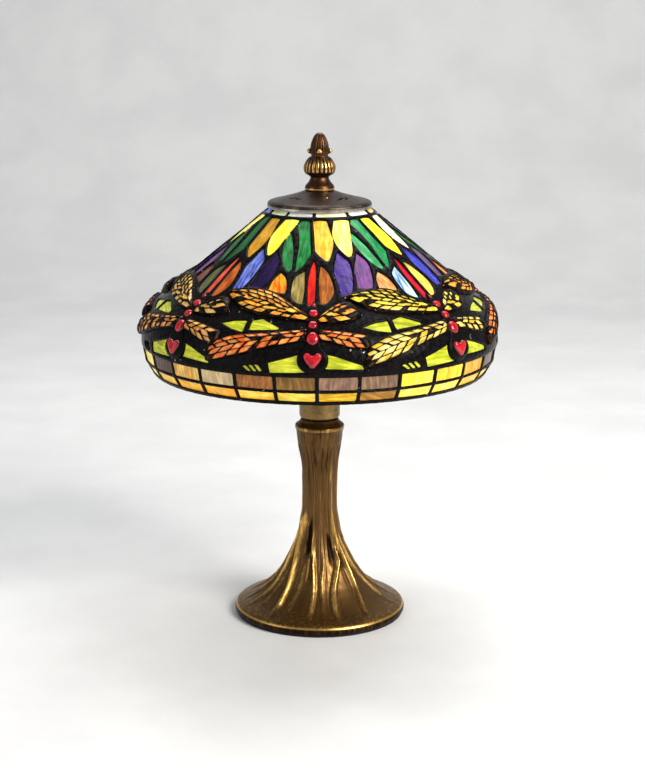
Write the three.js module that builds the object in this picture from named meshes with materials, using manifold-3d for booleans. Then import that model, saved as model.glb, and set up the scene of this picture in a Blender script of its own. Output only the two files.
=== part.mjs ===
// A dragonfly leaded-glass table lamp: cast tree-trunk base, socket, harp, bulb and a seven-sector shade.
// Millimetres, +Z up, origin at the centre of the underside. Azimuth 0 is the front (-Y) and grows towards +X.
import * as THREE from 'three';
import { mergeVertices } from 'three/addons/utils/BufferGeometryUtils.js';
import Module from 'manifold-3d';

const wasm = await Module();
wasm.setup();

// Driving dimensions
const GAP = 0.3; // clearance between neighbouring pieces
const SECTORS = 7; // the shade repeats once for each dragonfly
const SHADE_STEPS = 42; // facets round the shade, six to a sector
const GLASS = 2.8; // glass thickness
const CROWN_R = 34; // shade opening at the top
const CROWN_Z = 296.6;
const CONE_SLOPE = 0.82; // fall of the cone for each millimetre outwards
const CONE_END_R = 112; // where the cone starts to turn down
const SHOULDER_R = 36; // radius of that turn
const BAND_TOP = [125.2, 203];
const BAND_MID = [122.9, 191.7];
const RIM = [117.3, 182.4];
const CAME = 2.2; // width of a solder line
const CAME_PROUD = 0.5; // its height above the glass
const CAP_R = 36.6;
const CAP_Z = 296.2;
const FINIAL_Z = 308.2;
const FINIAL_TOP = 348;
const TRUNK_TOP = 127.8;
const BASE_R = 62.2;
const FELT_TOP = 1.3;
const PIPE_R = 4.76; // 1/8 IP lamp pipe
const SADDLE_Z = 158.3;
const SOCKET_Z = 160.4;
const SOCKET_R = 16.8;
const HARP_X = 30.5;
const HARP_ROD_R = 1.7;
const HARP_TOP = 291.4;
const STUD_R = 3.05; // 1/4-27 harp stud
const BULB_BASE_R = 12.9; // E26 screw base
const BULB_R = 24;
const BULB_TOP = 271;
const SWITCH_Z = 176.5;

// Material looks
const LOOKS = {
  bronze: { color: 0x7a5c2e, roughness: 0.45, metalness: 0.9 },
  dark_bronze: { color: 0x4a3a28, roughness: 0.5, metalness: 0.85 },
  brass: { color: 0xb08a4a, roughness: 0.35, metalness: 0.95 },
  steel: { color: 0xa8a8a4, roughness: 0.35, metalness: 0.95 },
  iron: { color: 0x3c3c3e, roughness: 0.75, metalness: 0.6 },
  felt: { color: 0x141414, roughness: 0.95, metalness: 0 },
  rubber: { color: 0x1a1a1a, roughness: 0.8, metalness: 0 },
  phenolic: { color: 0x1c1715, roughness: 0.5, metalness: 0 },
  solder: { color: 0x15120f, roughness: 0.4, metalness: 0.8 },
  filigree: { color: 0x6e4515, roughness: 0.4, metalness: 0.3 },
  bulb_glass: { color: 0xf6f1e2, roughness: 0.2, metalness: 0 },
  aluminium: { color: 0xc8c8c8, roughness: 0.35, metalness: 0.9 },
  petal_glass: { color: 0x2f9a3a, roughness: 0.2, metalness: 0 },
  wing_glass: { color: 0xc8c838, roughness: 0.2, metalness: 0 },
  band_glass: { color: 0xd09a2c, roughness: 0.2, metalness: 0 },
  crown_glass: { color: 0xe8e4c8, roughness: 0.2, metalness: 0 },
};

const lamp = new THREE.Group();

// Adds one named piece, optionally turned about the lamp's axis.
function addPiece(name, look, geometry, turn = 0) {
  const mesh = new THREE.Mesh(geometry, new THREE.MeshStandardMaterial(LOOKS[look]));
  mesh.name = name;
  mesh.rotation.z = turn;
  lamp.add(mesh);
}

// Positions and triangles of a closed geometry: shared vertices merged, faces pointing out.
function closedSurface(geometry) {
  const bare = new THREE.BufferGeometry();
  bare.setAttribute('position', geometry.getAttribute('position').clone());
  bare.setIndex(geometry.getIndex());
  const merged = mergeVertices(bare, 1e-4);
  const positions = Float32Array.from(merged.getAttribute('position').array);
  const index = merged.getIndex().array;
  const corner = (i) => new THREE.Vector3().fromArray(positions, 3 * i);
  const triangles = [];
  let volume = 0;
  for (let k = 0; k < index.length; k += 3) {
    const [a, b, c] = [index[k], index[k + 1], index[k + 2]];
    if (a !== b && b !== c && c !== a) {
      triangles.push(a, b, c);
      volume += corner(a).dot(corner(b).cross(corner(c)));
    }
  }
  if (volume < 0) {
    triangles.reverse();
  }
  return { positions, triangles: Uint32Array.from(triangles) };
}

function toGeometry({ positions, triangles }) {
  const geometry = new THREE.BufferGeometry();
  geometry.setAttribute('position', new THREE.BufferAttribute(positions, 3));
  geometry.setIndex(new THREE.BufferAttribute(triangles, 1));
  return geometry;
}

const closed = (geometry) => toGeometry(closedSurface(geometry));

function toManifold(geometry) {
  const { positions, triangles } = closedSurface(geometry);
  const mesh = new wasm.Mesh({ numProp: 3, vertProperties: positions, triVerts: triangles });
  return new wasm.Manifold(mesh);
}

function fromManifold(manifold) {
  const mesh = manifold.getMesh();
  return toGeometry({
    positions: Float32Array.from(mesh.vertProperties),
    triangles: Uint32Array.from(mesh.triVerts),
  });
}

const join = (...parts) => parts.reduce((whole, part) => whole.add(part));
const cut = (body, ...tools) => tools.reduce((rest, tool) => rest.subtract(tool), body);

// A profile of [radius, height] points turned about the lamp's axis. A ring's profile is closed on itself.
function turned(points, steps = 32) {
  const outline = points.map(([r, z]) => new THREE.Vector2(r, z));
  return new THREE.LatheGeometry(outline, steps).rotateX(Math.PI / 2);
}

const ring = (points, steps) => turned([...points, points[0]], steps);

const tube = (inner, outer, low, high, steps) =>
  ring([[inner, low], [outer, low], [outer, high], [inner, high]], steps);

function rod(radius, low, high, steps = 20) {
  return new THREE.CylinderGeometry(radius, radius, high - low, steps)
    .rotateX(Math.PI / 2)
    .translate(0, 0, (low + high) / 2);
}

function box(lowCorner, highCorner) {
  const size = highCorner.map((high, i) => high - lowCorner[i]);
  const middle = highCorner.map((high, i) => (high + lowCorner[i]) / 2);
  return new THREE.BoxGeometry(...size).translate(...middle);
}

// A flat outline pushed along +Z from low to high.
function plate(outline, low, high, hole = 0) {
  const shape = new THREE.Shape(outline.map(([x, y]) => new THREE.Vector2(x, y)));
  if (hole > 0) {
    shape.holes.push(new THREE.Path().absarc(0, 0, hole, 0, 2 * Math.PI, true));
  }
  const options = { depth: high - low, bevelEnabled: false, curveSegments: 20 };
  return new THREE.ExtrudeGeometry(shape, options).translate(0, 0, low);
}

const regular = (sides, radiusAt) =>
  Array.from({ length: sides }, (_, i) => {
    const angle = (2 * Math.PI * i) / sides;
    return [radiusAt(i) * Math.cos(angle), radiusAt(i) * Math.sin(angle)];
  });

// ---- Base ----

const TRUNK_PROFILE = [
  [0, FELT_TOP + GAP], [61.2, FELT_TOP + GAP], [BASE_R, 3.4], [60.5, 7.0], [50.5, 10.9], [41.5, 16.4],
  [32.8, 23.8], [26, 33], [20.4, 44], [15.8, 56], [12.9, 70], [12.1, 88], [13.4, 112],
  [15.8, TRUNK_TOP], [0, TRUNK_TOP],
];
const TRUNK_CAVITY = [
  [0, 0], [56, 0], [56, 4.4], [37.5, 9.4], [29.6, 18], [20.2, 33], [13, 50], [8.6, 72], [8.6, 108],
  [0, 108],
];
const BARK_LOBES = 6;
const BARK_DEPTH = 1.1;
const CORD_NOTCH = { width: 6.4, top: 5.3, from: 50, to: 66 };

// Shallow root lobes, full on the flare and fading out at the collar and at the round foot.
function barked(geometry) {
  const position = geometry.getAttribute('position');
  for (let i = 0; i < position.count; i += 1) {
    const [x, y, z] = [position.getX(i), position.getY(i), position.getZ(i)];
    const fade = THREE.MathUtils.smoothstep(z, 10, 20) * (1 - THREE.MathUtils.smoothstep(z, 90, 120));
    const r = Math.hypot(x, y);
    if (r > 1e-6) {
      const scale = 1 + (BARK_DEPTH * fade * Math.cos(BARK_LOBES * Math.atan2(y, x) + z / 25)) / r;
      position.setXY(i, x * scale, y * scale);
    }
  }
  return geometry;
}

function addBase() {
  const { width, top, from, to } = CORD_NOTCH;
  const notch = box([-width / 2, from, 0], [width / 2, to, top]);
  const trunk = cut(
    toManifold(barked(turned(TRUNK_PROFILE, 42))),
    toManifold(turned(TRUNK_CAVITY, 24)),
    toManifold(rod(PIPE_R + GAP, 100, 140)),
    toManifold(notch),
  );
  addPiece('felt_pad', 'felt', closed(rod(BASE_R - 1.6, 0, FELT_TOP, 42)));
  addPiece('trunk_base', 'bronze', fromManifold(trunk));

  const weight = [
    [12, 1.8], [52, 1.8], [52, 4], [36, 7.8], [27, 16.6], [19.6, 27], [5.2, 27], [5.2, 10.3], [12, 10.3],
  ];
  addPiece('base_weight', 'iron', closed(ring(weight, 24)));

  // A half-round grommet in the notch, where a cord enters.
  const grommet = new THREE.Shape();
  const half = width / 2 - GAP;
  const archZ = 2.0;
  grommet.moveTo(half, FELT_TOP + GAP);
  grommet.lineTo(half, archZ);
  grommet.absarc(0, archZ, half, 0, Math.PI, false);
  grommet.lineTo(-half, FELT_TOP + GAP);
  grommet.lineTo(-half + 1.2, FELT_TOP + GAP);
  grommet.absarc(0, archZ, half - 1.2, Math.PI, 0, true);
  grommet.lineTo(half - 1.2, FELT_TOP + GAP);
  const bushing = new THREE.ExtrudeGeometry(grommet, { depth: 9, bevelEnabled: false, curveSegments: 8 });
  addPiece('cord_bushing', 'rubber', closed(bushing.rotateX(Math.PI / 2).translate(0, 62, 0)));

  addPiece('pipe_nut', 'steel', closed(plate(regular(6, () => 8.1), 4.4, 8.4, PIPE_R + GAP)));
  addPiece('pipe_washer', 'steel', closed(tube(PIPE_R + GAP, 10, 8.7, 10, 24)));
  addPiece('threaded_pipe', 'steel', closed(tube(3.2, PIPE_R, 3.2, 162.5, 20)));
}

// ---- Neck and socket ----

function addNeck() {
  const bore = PIPE_R + GAP;
  const neck = [
    [bore, 128.1], [15.9, 128.1], [16.5, 132.4], [17.5, 137.4], [17.4, 139.6], [15.0, 141.8],
    [13.6, 144.3], [bore, 144.3],
  ];
  addPiece('neck_ring', 'bronze', closed(ring(neck, 28)));
  const cup = [
    [bore, 144.6], [12.9, 144.6], [14.6, 147.2], [14.6, SADDLE_Z - GAP], [bore, SADDLE_Z - GAP],
  ];
  addPiece('socket_cup', 'brass', closed(ring(cup, 28)));
}

function addSocket() {
  const bore = PIPE_R + GAP;
  const cap = [
    [bore, SOCKET_Z], [12, SOCKET_Z], [SOCKET_R, 164.6], [SOCKET_R, 171], [SOCKET_R - 0.8, 171],
    [SOCKET_R - 0.8, 165.4], [11.6, 161.4], [bore, 161.4],
  ];
  addPiece('socket_cap', 'brass', closed(ring(cap, 24)));

  const keyway = rod(2.6, 0, 30, 12).rotateX(Math.PI / 2).translate(0, 0, SWITCH_Z);
  const shell = cut(toManifold(tube(SOCKET_R - 0.8, SOCKET_R, 171.3, 205.5, 24)), toManifold(keyway));
  addPiece('socket_shell', 'brass', fromManifold(shell));
  addPiece('socket_body', 'phenolic', closed(rod(13.6, 164, 181, 24)));
  addPiece('socket_screw_shell', 'brass', closed(tube(13.5, 14.1, 181.4, 204.5, 24)));
  addPiece('socket_contact', 'brass', closed(rod(3.6, 181.4, 183, 16)));

  const shaft = rod(1.7, 14.3, 31, 12).rotateX(Math.PI / 2).translate(0, 0, SWITCH_Z);
  addPiece('switch_shaft', 'steel', closed(shaft));
  const fluted = regular(20, (i) => (i % 2 ? 5.4 : 4.8));
  const knob = plate(fluted, 20, 33, 2.0).rotateX(Math.PI / 2).translate(0, 0, SWITCH_Z);
  addPiece('switch_knob', 'phenolic', closed(knob));
}

// ---- Bulb ----

function addBulb() {
  addPiece('bulb_contact', 'brass', closed(rod(4.4, 183.4, 185, 16)));
  const base = [
    [0, 185.4], [5.5, 185.4], [BULB_BASE_R, 189.6], [BULB_BASE_R, 207], [BULB_BASE_R - 0.7, 207],
    [BULB_BASE_R - 0.7, 190.4], [0, 186.6],
  ];
  addPiece('bulb_screw_base', 'aluminium', closed(turned(base, 20)));

  const wall = 1.2;
  const widest = BULB_TOP - BULB_R;
  const neck = [[11.6, 196], [12, 214], [18.4, 230]];
  const steps = 4;
  const dome = (radius) =>
    Array.from({ length: steps }, (_, i) => {
      const angle = (Math.PI / 2) * (i / steps);
      return [radius * Math.cos(angle), widest + radius * Math.sin(angle)];
    });
  const inside = [...neck.map(([r, z]) => [r - wall, z]), ...dome(BULB_R - wall)].reverse();
  const outside = [...neck, ...dome(BULB_R)];
  const profile = [[0, BULB_TOP - wall], ...inside, ...outside, [0, BULB_TOP]];
  addPiece('bulb_globe', 'bulb_glass', closed(turned(profile, 24)));
}

// ---- Harp ----

// A round rod along a curve in the XZ plane.
function bentRod(points, radius, steps) {
  const path = new THREE.CatmullRomCurve3(points.map(([x, z]) => new THREE.Vector3(x, 0, z)));
  const section = new THREE.Shape().absarc(0, 0, radius, 0, 2 * Math.PI, false);
  const options = { steps, extrudePath: path, curveSegments: 4, bevelEnabled: false };
  return new THREE.ExtrudeGeometry(section, options);
}

function addHarp() {
  const edge = HARP_X + 0.9;
  const saddle = cut(
    join(
      toManifold(box([-edge, -8, SADDLE_Z], [edge, 8, SADDLE_Z + 1.8])),
      toManifold(box([HARP_X - 0.9, -1.6, SADDLE_Z], [edge, 1.6, 173])),
      toManifold(box([-edge, -1.6, SADDLE_Z], [-HARP_X + 0.9, 1.6, 173])),
    ),
    toManifold(rod(PIPE_R + GAP, 150, 170)),
  );
  addPiece('harp_saddle', 'brass', fromManifold(saddle));

  const leg = [[HARP_X, 173.5], [HARP_X, 182], [36, 205], [39.5, 232], [35, 262], [21, 284], [7, HARP_TOP]];
  const mirrored = leg.map(([x, z]) => [-x, z]).reverse();
  addPiece('harp_loop', 'brass', closed(bentRod([...leg, ...mirrored], HARP_ROD_R, 32)));

  for (const [name, side] of [['harp_sleeve_left', -1], ['harp_sleeve_right', 1]]) {
    const sleeve = tube(2.3, 3.4, 164, 178, 16).translate(side * HARP_X, 0, 0);
    addPiece(name, 'brass', closed(sleeve));
  }

  const foot = HARP_TOP + HARP_ROD_R + 0.8;
  const stud = [[0, foot], [6.5, foot], [6.5, foot + 1.4], [STUD_R, foot + 1.4], [STUD_R, 318], [0, 318]];
  addPiece('harp_stud', 'brass', closed(turned(stud, 20)));
}

// ---- Shade surface ----

const CONE_LENGTH = (CONE_END_R - CROWN_R) * Math.hypot(1, CONE_SLOPE);
const CONE_FALL = Math.atan(CONE_SLOPE);
const SHOULDER_LENGTH = SHOULDER_R * (Math.PI / 2 - CONE_FALL);
const SHOULDER_END_Z = CROWN_Z - CONE_SLOPE * (CONE_END_R - CROWN_R) - SHOULDER_R * Math.cos(CONE_FALL);
const WALL_LENGTH = SHOULDER_END_Z - BAND_TOP[1];

// Start point, length and direction of each straight run below the shoulder.
function straightRuns() {
  const corners = [[BAND_TOP[0], SHOULDER_END_Z], BAND_TOP, BAND_MID, RIM];
  let start = CONE_LENGTH + SHOULDER_LENGTH;
  return corners.slice(1).map((end, i) => {
    const from = corners[i];
    const length = Math.hypot(end[0] - from[0], end[1] - from[1]);
    const run = { start, from, length, fall: Math.atan2(from[1] - end[1], end[0] - from[0]) };
    start += length;
    return run;
  });
}
const RUNS = straightRuns();
const SHOULDER_STEPS = 3; // facets down the turn
const BAND_TOP_AT = CONE_LENGTH + SHOULDER_LENGTH + WALL_LENGTH;
const RIM_AT = RUNS[2].start + RUNS[2].length;

// [radius, height] at a distance down the outer surface from the crown, sunk by depth into the glass.
function shadePoint(along, depth = 0) {
  let r;
  let z;
  let fall;
  if (along <= CONE_LENGTH) {
    fall = CONE_FALL;
    r = CROWN_R + along * Math.cos(fall);
    z = CROWN_Z - along * Math.sin(fall);
  } else if (along <= CONE_LENGTH + SHOULDER_LENGTH) {
    fall = CONE_FALL + (along - CONE_LENGTH) / SHOULDER_R;
    r = CONE_END_R + SHOULDER_R * (Math.sin(fall) - Math.sin(CONE_FALL));
    z = CROWN_Z - CONE_SLOPE * (CONE_END_R - CROWN_R) - SHOULDER_R * (Math.cos(CONE_FALL) - Math.cos(fall));
  } else {
    const run = RUNS.findLast((candidate) => along >= candidate.start) ?? RUNS[0];
    fall = run.fall;
    r = run.from[0] + (along - run.start) * Math.cos(fall);
    z = run.from[1] - (along - run.start) * Math.sin(fall);
  }
  return [r - depth * Math.sin(fall), z - depth * Math.cos(fall)];
}

// Stations where the surface bends, kept between two ends.
function stations(from, to) {
  const bends = [CONE_LENGTH, ...RUNS.map((run) => run.start)];
  for (let i = 1; i < SHOULDER_STEPS; i += 1) {
    bends.push(CONE_LENGTH + (SHOULDER_LENGTH * i) / SHOULDER_STEPS);
  }
  const inside = bends.filter((at) => at > from + 1 && at < to - 1).sort((a, b) => a - b);
  return [from, ...inside, to];
}

// Closed profile of a strip of the shade wall between two depths.
function wallProfile(from, to, outerDepth, innerDepth) {
  const at = stations(from, to);
  const outer = at.map((along) => shadePoint(along, outerDepth));
  const inner = at.map((along) => shadePoint(along, innerDepth));
  return [...outer, ...inner.reverse()];
}

const strip = (from, to, outerDepth = 0, innerDepth = GLASS) =>
  ring(wallProfile(from, to, outerDepth, innerDepth), SHADE_STEPS);

const SECTOR_ANGLE = (2 * Math.PI) / SECTORS;
const CROWN_CAME_AT = 6;
const WAIST_CAME_AT = 74;
const FRAME_DEPTH = 3.3;

// One sector of the wall, its sides set back by half the solder line and the clearance.
function sectorPanel(from, to) {
  const reach = 160;
  const side = SECTOR_ANGLE / 2;
  const setBack = (CAME / 2 + GAP) / Math.sin(side);
  const outline = [
    [0, -setBack],
    [reach * Math.sin(side), -setBack - reach * Math.cos(side)],
    [-reach * Math.sin(side), -setBack - reach * Math.cos(side)],
  ];
  const wedge = plate(outline, 150, 320);
  return fromManifold(toManifold(strip(from, to)).intersect(toManifold(wedge)));
}

// Wings of one dragonfly as [azimuth in degrees, distance down the surface].
const WINGS = [
  [[-39, 76], [-29, 71.5], [-20, 72.5], [-3, 93], [-3, 98.5], [-24, 93.5], [-33, 87]],
  [[-3, 103.6], [-19, 107.8], [-28, 110.6], [-36, 120], [-36, 130], [-18.5, 119.2], [-3, 112]],
  [[-1, 98], [7, 82.5], [12, 82], [15, 92], [12, 99]],
  [[-1, 104], [10, 106.5], [15.5, 110], [15, 119], [9.5, 117.8], [-1, 111]],
];
const DRAGONFLY_BODY = [[-3.4, 80], [-0.6, 80], [0.4, 128], [-2.1, 133.5], [-4.6, 128]];
const WING_CLEAR = 0.8; // underside of the filigree above the glass
const WING_TOP = 3.0;

function dragonfly() {
  const outlines = [...WINGS, DRAGONFLY_BODY].map((outline) =>
    outline.map(([degrees, along]) => {
      const [r, z] = shadePoint(along);
      return [r * Math.sin(THREE.MathUtils.degToRad(degrees)), z];
    }),
  );
  const prisms = outlines.map((outline) => toManifold(plate(outline, 40, 140).rotateX(Math.PI / 2)));
  const shell = toManifold(strip(68, BAND_TOP_AT, -WING_TOP, -WING_CLEAR));
  return fromManifold(shell.intersect(join(...prisms)));
}

function solderFrame() {
  const half = CAME / 2;
  const from = CROWN_CAME_AT;
  const to = RIM_AT - 2.6;
  const rings = [CROWN_CAME_AT, WAIST_CAME_AT, BAND_TOP_AT].map((at) =>
    toManifold(strip(at - half, at + half, -CAME_PROUD, FRAME_DEPTH)),
  );
  const wall = toManifold(strip(from, to, -CAME_PROUD, FRAME_DEPTH));
  const ribs = Array.from({ length: SECTORS }, (_, i) =>
    toManifold(box([-half, -160, 150], [half, -10, 320]).rotateZ(SECTOR_ANGLE * (i + 0.5))),
  );
  return fromManifold(join(...rings, wall.intersect(join(...ribs))));
}

function addShade() {
  const clear = CAME / 2 + GAP;
  const petalSpan = [CROWN_CAME_AT + clear, WAIST_CAME_AT - clear];
  const wingSpan = [WAIST_CAME_AT + clear, BAND_TOP_AT - clear];
  const bandSpan = [BAND_TOP_AT + clear, RIM_AT - 2.6];
  const kinds = [
    ['petal_glass', 'petal_glass', sectorPanel(...petalSpan)],
    ['wing_glass', 'wing_glass', sectorPanel(...wingSpan)],
    ['band_glass', 'band_glass', sectorPanel(...bandSpan)],
    ['dragonfly', 'filigree', dragonfly()],
  ];
  for (const [name, look, geometry] of kinds) {
    for (let i = 0; i < SECTORS; i += 1) {
      addPiece(`${name}_${i + 1}`, look, geometry, SECTOR_ANGLE * i);
    }
  }
  addPiece('crown_glass', 'crown_glass', closed(strip(0.9, CROWN_CAME_AT - clear)));
  addPiece('solder_frame', 'solder', solderFrame());
  addPiece('shade_rim', 'solder', closed(strip(RIM_AT - 2.3, RIM_AT, -CAME_PROUD, FRAME_DEPTH)));
  addPiece('crown_came', 'dark_bronze', closed(tube(32.6, 34.2, 296.8, 299.2, SHADE_STEPS)));
}

// ---- Spider, cap and finial ----

const SPIDER_Z = 296.0;
const VENT_GROUPS = 4;
const VENTS_IN_GROUP = 2;

function addSpider() {
  const hub = toManifold(tube(STUD_R + GAP + 0.3, 9, SPIDER_Z, SPIDER_Z + 1.5, 16));
  const rim = toManifold(tube(29.5, 32.2, SPIDER_Z, SPIDER_Z + 1.5, 28));
  const arms = [0, 1, 2].map((i) =>
    toManifold(box([-2, 8, SPIDER_Z], [2, 30.5, SPIDER_Z + 1.5]).rotateZ((2 * Math.PI * i) / 3)),
  );
  addPiece('shade_spider', 'brass', fromManifold(join(hub, rim, ...arms)));
}

function addCap() {
  const bore = STUD_R + GAP + 0.2;
  const cap = [
    [bore, 306.7], [10.6, 306.5], [17, 304.5], [CAP_R - 1.2, 299.6], [CAP_R - 1.2, CAP_Z], [CAP_R, CAP_Z],
    [CAP_R, CAP_Z + 4], [34.5, 301.1], [22, 304.3], [16, 306], [11, 307.9], [bore, 307.9],
  ];
  const vents = [];
  for (let group = 0; group < VENT_GROUPS; group += 1) {
    for (let i = 0; i < VENTS_IN_GROUP; i += 1) {
      const turn = (2 * Math.PI * (group + 0.4)) / VENT_GROUPS + i * 0.25;
      vents.push(toManifold(rod(1.3, 290, 310, 6).translate(0, -20.5, 0).rotateZ(turn)));
    }
  }
  addPiece('vented_cap', 'dark_bronze', fromManifold(cut(toManifold(ring(cap, 28)), ...vents)));
}

function addFinial() {
  const bore = 4.7;
  const profile = [
    [0, 319], [bore, 319], [bore, FINIAL_Z], [10.4, FINIAL_Z], [9.6, 312.2], [6.1, 317.4], [10.9, 323.4],
    [10.2, 328.6], [6.2, 333.2], [7.6, 336.6], [6.0, 342], [3.9, 345.8], [0, FINIAL_TOP],
  ];
  addPiece('finial', 'bronze', closed(turned(profile, 24)));
  addPiece('finial_insert', 'brass', closed(tube(STUD_R + GAP, bore - GAP, FINIAL_Z + 0.3, 318, 20)));
}

addBase();
addNeck();
addSocket();
addBulb();
addHarp();
addSpider();
addShade();
addCap();
addFinial();

export default lamp;
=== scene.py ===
"""A leaded-glass dragonfly lamp on a tree-trunk base: the looks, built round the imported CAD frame.

The shade is drawn flat, as outlines in [degrees round from the sector's dragonfly, millimetres down the surface],
and wrapped onto the shade's turned surface. Lengths are millimetres until a mesh is made, which is in metres.
"""
import math
import random

import bpy
import numpy as np
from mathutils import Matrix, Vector
from mathutils.geometry import delaunay_2d_cdt
from mathutils.kdtree import KDTree


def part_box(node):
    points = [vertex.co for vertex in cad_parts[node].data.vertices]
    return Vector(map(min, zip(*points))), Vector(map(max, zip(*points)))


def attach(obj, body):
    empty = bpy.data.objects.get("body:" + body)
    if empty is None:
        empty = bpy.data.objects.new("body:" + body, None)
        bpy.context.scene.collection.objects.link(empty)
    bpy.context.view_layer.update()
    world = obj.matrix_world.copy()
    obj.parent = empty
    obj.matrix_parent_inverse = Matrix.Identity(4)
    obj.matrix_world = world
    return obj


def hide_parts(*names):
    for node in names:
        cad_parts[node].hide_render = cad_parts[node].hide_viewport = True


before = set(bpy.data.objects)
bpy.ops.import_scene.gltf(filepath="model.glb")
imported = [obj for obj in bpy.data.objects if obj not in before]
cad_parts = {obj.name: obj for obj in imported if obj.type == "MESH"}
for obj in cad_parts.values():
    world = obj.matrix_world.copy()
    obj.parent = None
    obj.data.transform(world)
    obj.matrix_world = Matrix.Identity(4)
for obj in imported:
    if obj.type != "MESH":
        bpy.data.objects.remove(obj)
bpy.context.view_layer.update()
MM = 0.001


# ---------------------------------------------------------------- camera, light and floor

TARGET = (0, 0, 0.178)
DISTANCE = 1.27
ELEVATION = math.radians(12.5)
LENS, SENSOR = 82.7, 36
SHIFT = (0.0037, -0.0196)
SKY, SKY_STRENGTH = (0.92, 0.95, 1.0, 1), 0.28
SOFTBOXES = [  # name, place, size, watts and colour
    ("key", (1.1, -1.0, 1.1), (0.9, 0.9), 40, (1.0, 0.97, 0.92)),
    ("fill", (-1.5, -0.7, 0.7), (1.0, 1.4), 5, (0.9, 0.95, 1.0)),
    ("top", (0.1, 0.5, 1.5), (1.2, 0.8), 16, (1, 1, 1)),
]


def add_camera():
    data = bpy.data.cameras.new("camera")
    data.lens = LENS
    data.sensor_width = SENSOR
    data.shift_x, data.shift_y = SHIFT
    camera = bpy.data.objects.new("camera", data)
    bpy.context.scene.collection.objects.link(camera)
    back = Vector((0, -math.cos(ELEVATION), math.sin(ELEVATION)))
    camera.location = Vector(TARGET) + back * DISTANCE
    camera.rotation_mode = "QUATERNION"
    camera.rotation_quaternion = (-back).to_track_quat("-Z", "Y")
    bpy.context.scene.camera = camera


def add_softbox(name, place, size, power, colour):
    data = bpy.data.lights.new(name, "AREA")
    data.shape = "RECTANGLE"
    data.size, data.size_y = size
    data.energy = power
    data.color = colour
    lamp = bpy.data.objects.new(name, data)
    lamp.location = place
    toward = Vector(TARGET) - Vector(place)
    lamp.rotation_mode = "QUATERNION"
    lamp.rotation_quaternion = toward.to_track_quat("-Z", "Y")
    bpy.context.scene.collection.objects.link(lamp)


def add_studio():
    scene = bpy.context.scene
    scene.view_settings.view_transform = "Standard"
    world = bpy.data.worlds.new("studio")
    world.use_nodes = True
    background = world.node_tree.nodes["Background"]
    background.inputs["Color"].default_value = SKY
    background.inputs["Strength"].default_value = SKY_STRENGTH
    scene.world = world
    for box in SOFTBOXES:
        add_softbox(*box)


# ---------------------------------------------------------------- node materials


class Shader:
    """A node material, with short calls for the nodes that it needs."""

    def __init__(self, name):
        self.material = bpy.data.materials.new(name)
        self.material.use_nodes = True
        self.tree = self.material.node_tree
        self.surface = self.tree.nodes["Principled BSDF"]

    def node(self, kind, **settings):
        made = self.tree.nodes.new(kind)
        for key, value in settings.items():
            setattr(made, key, value)
        return made

    def feed(self, socket, value):
        if isinstance(value, bpy.types.NodeSocket):
            self.tree.links.new(value, socket)
        else:
            socket.default_value = value

    def attribute(self, name, output="Color"):
        return self.node("ShaderNodeAttribute", attribute_name=name).outputs[output]

    def place(self, scale=(1, 1, 1), source=None):
        """Object coordinates in millimetres, or source, stretched by scale."""
        if source is None:
            source = self.node("ShaderNodeTexCoord").outputs["Object"]
            scale = [s / MM for s in scale]
        mapping = self.node("ShaderNodeMapping")
        self.feed(mapping.inputs["Vector"], source)
        mapping.inputs["Scale"].default_value = scale
        return mapping.outputs["Vector"]

    def noise(self, vector, scale, detail=3.0, roughness=0.55, distortion=0.0):
        texture = self.node("ShaderNodeTexNoise")
        self.feed(texture.inputs["Vector"], vector)
        for key, value in zip(("Scale", "Detail", "Roughness", "Distortion"), (scale, detail, roughness, distortion)):
            texture.inputs[key].default_value = value
        return texture.outputs["Fac"]

    def ramp(self, value, low, high, from_value=0.0, to_value=1.0):
        """value taken smoothly from low..high to from_value..to_value."""
        ranged = self.node("ShaderNodeMapRange", interpolation_type="SMOOTHSTEP")
        self.feed(ranged.inputs["Value"], value)
        for key, number in zip(("From Min", "From Max", "To Min", "To Max"), (low, high, from_value, to_value)):
            ranged.inputs[key].default_value = number
        return ranged.outputs["Result"]

    def maths(self, operation, a, b=0.0):
        made = self.node("ShaderNodeMath", operation=operation)
        self.feed(made.inputs[0], a)
        self.feed(made.inputs[1], b)
        return made.outputs[0]

    def mix(self, factor, a, b, blend="MIX"):
        made = self.node("ShaderNodeMix", data_type="RGBA", blend_type=blend)
        self.feed(made.inputs[0], factor)
        self.feed(made.inputs[6], a)
        self.feed(made.inputs[7], b)
        return made.outputs[2]

    def bump(self, height, distance_mm, strength=1.0):
        made = self.node("ShaderNodeBump")
        self.feed(made.inputs["Height"], height)
        made.inputs["Distance"].default_value = distance_mm * MM
        made.inputs["Strength"].default_value = strength
        return made.outputs["Normal"]

    def finish(self, **sockets):
        names = {"colour": "Base Color", "glow": "Emission Color", "glow_strength": "Emission Strength"}
        for key, value in sockets.items():
            self.feed(self.surface.inputs[names.get(key, key.replace("_", " ").title())], value)
        return self.material


def srgb(r, g, b):
    """A colour as seen on a screen, as the linear colour that a shader needs."""
    linear = [c / 12.92 if c <= 0.04045 else ((c + 0.055) / 1.055) ** 2.4 for c in (r, g, b)]
    return (*linear, 1.0)


# strength of the painted glow that stands in for the bulb's light through the glass
GLASS_GLOW = 0.5


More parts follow.
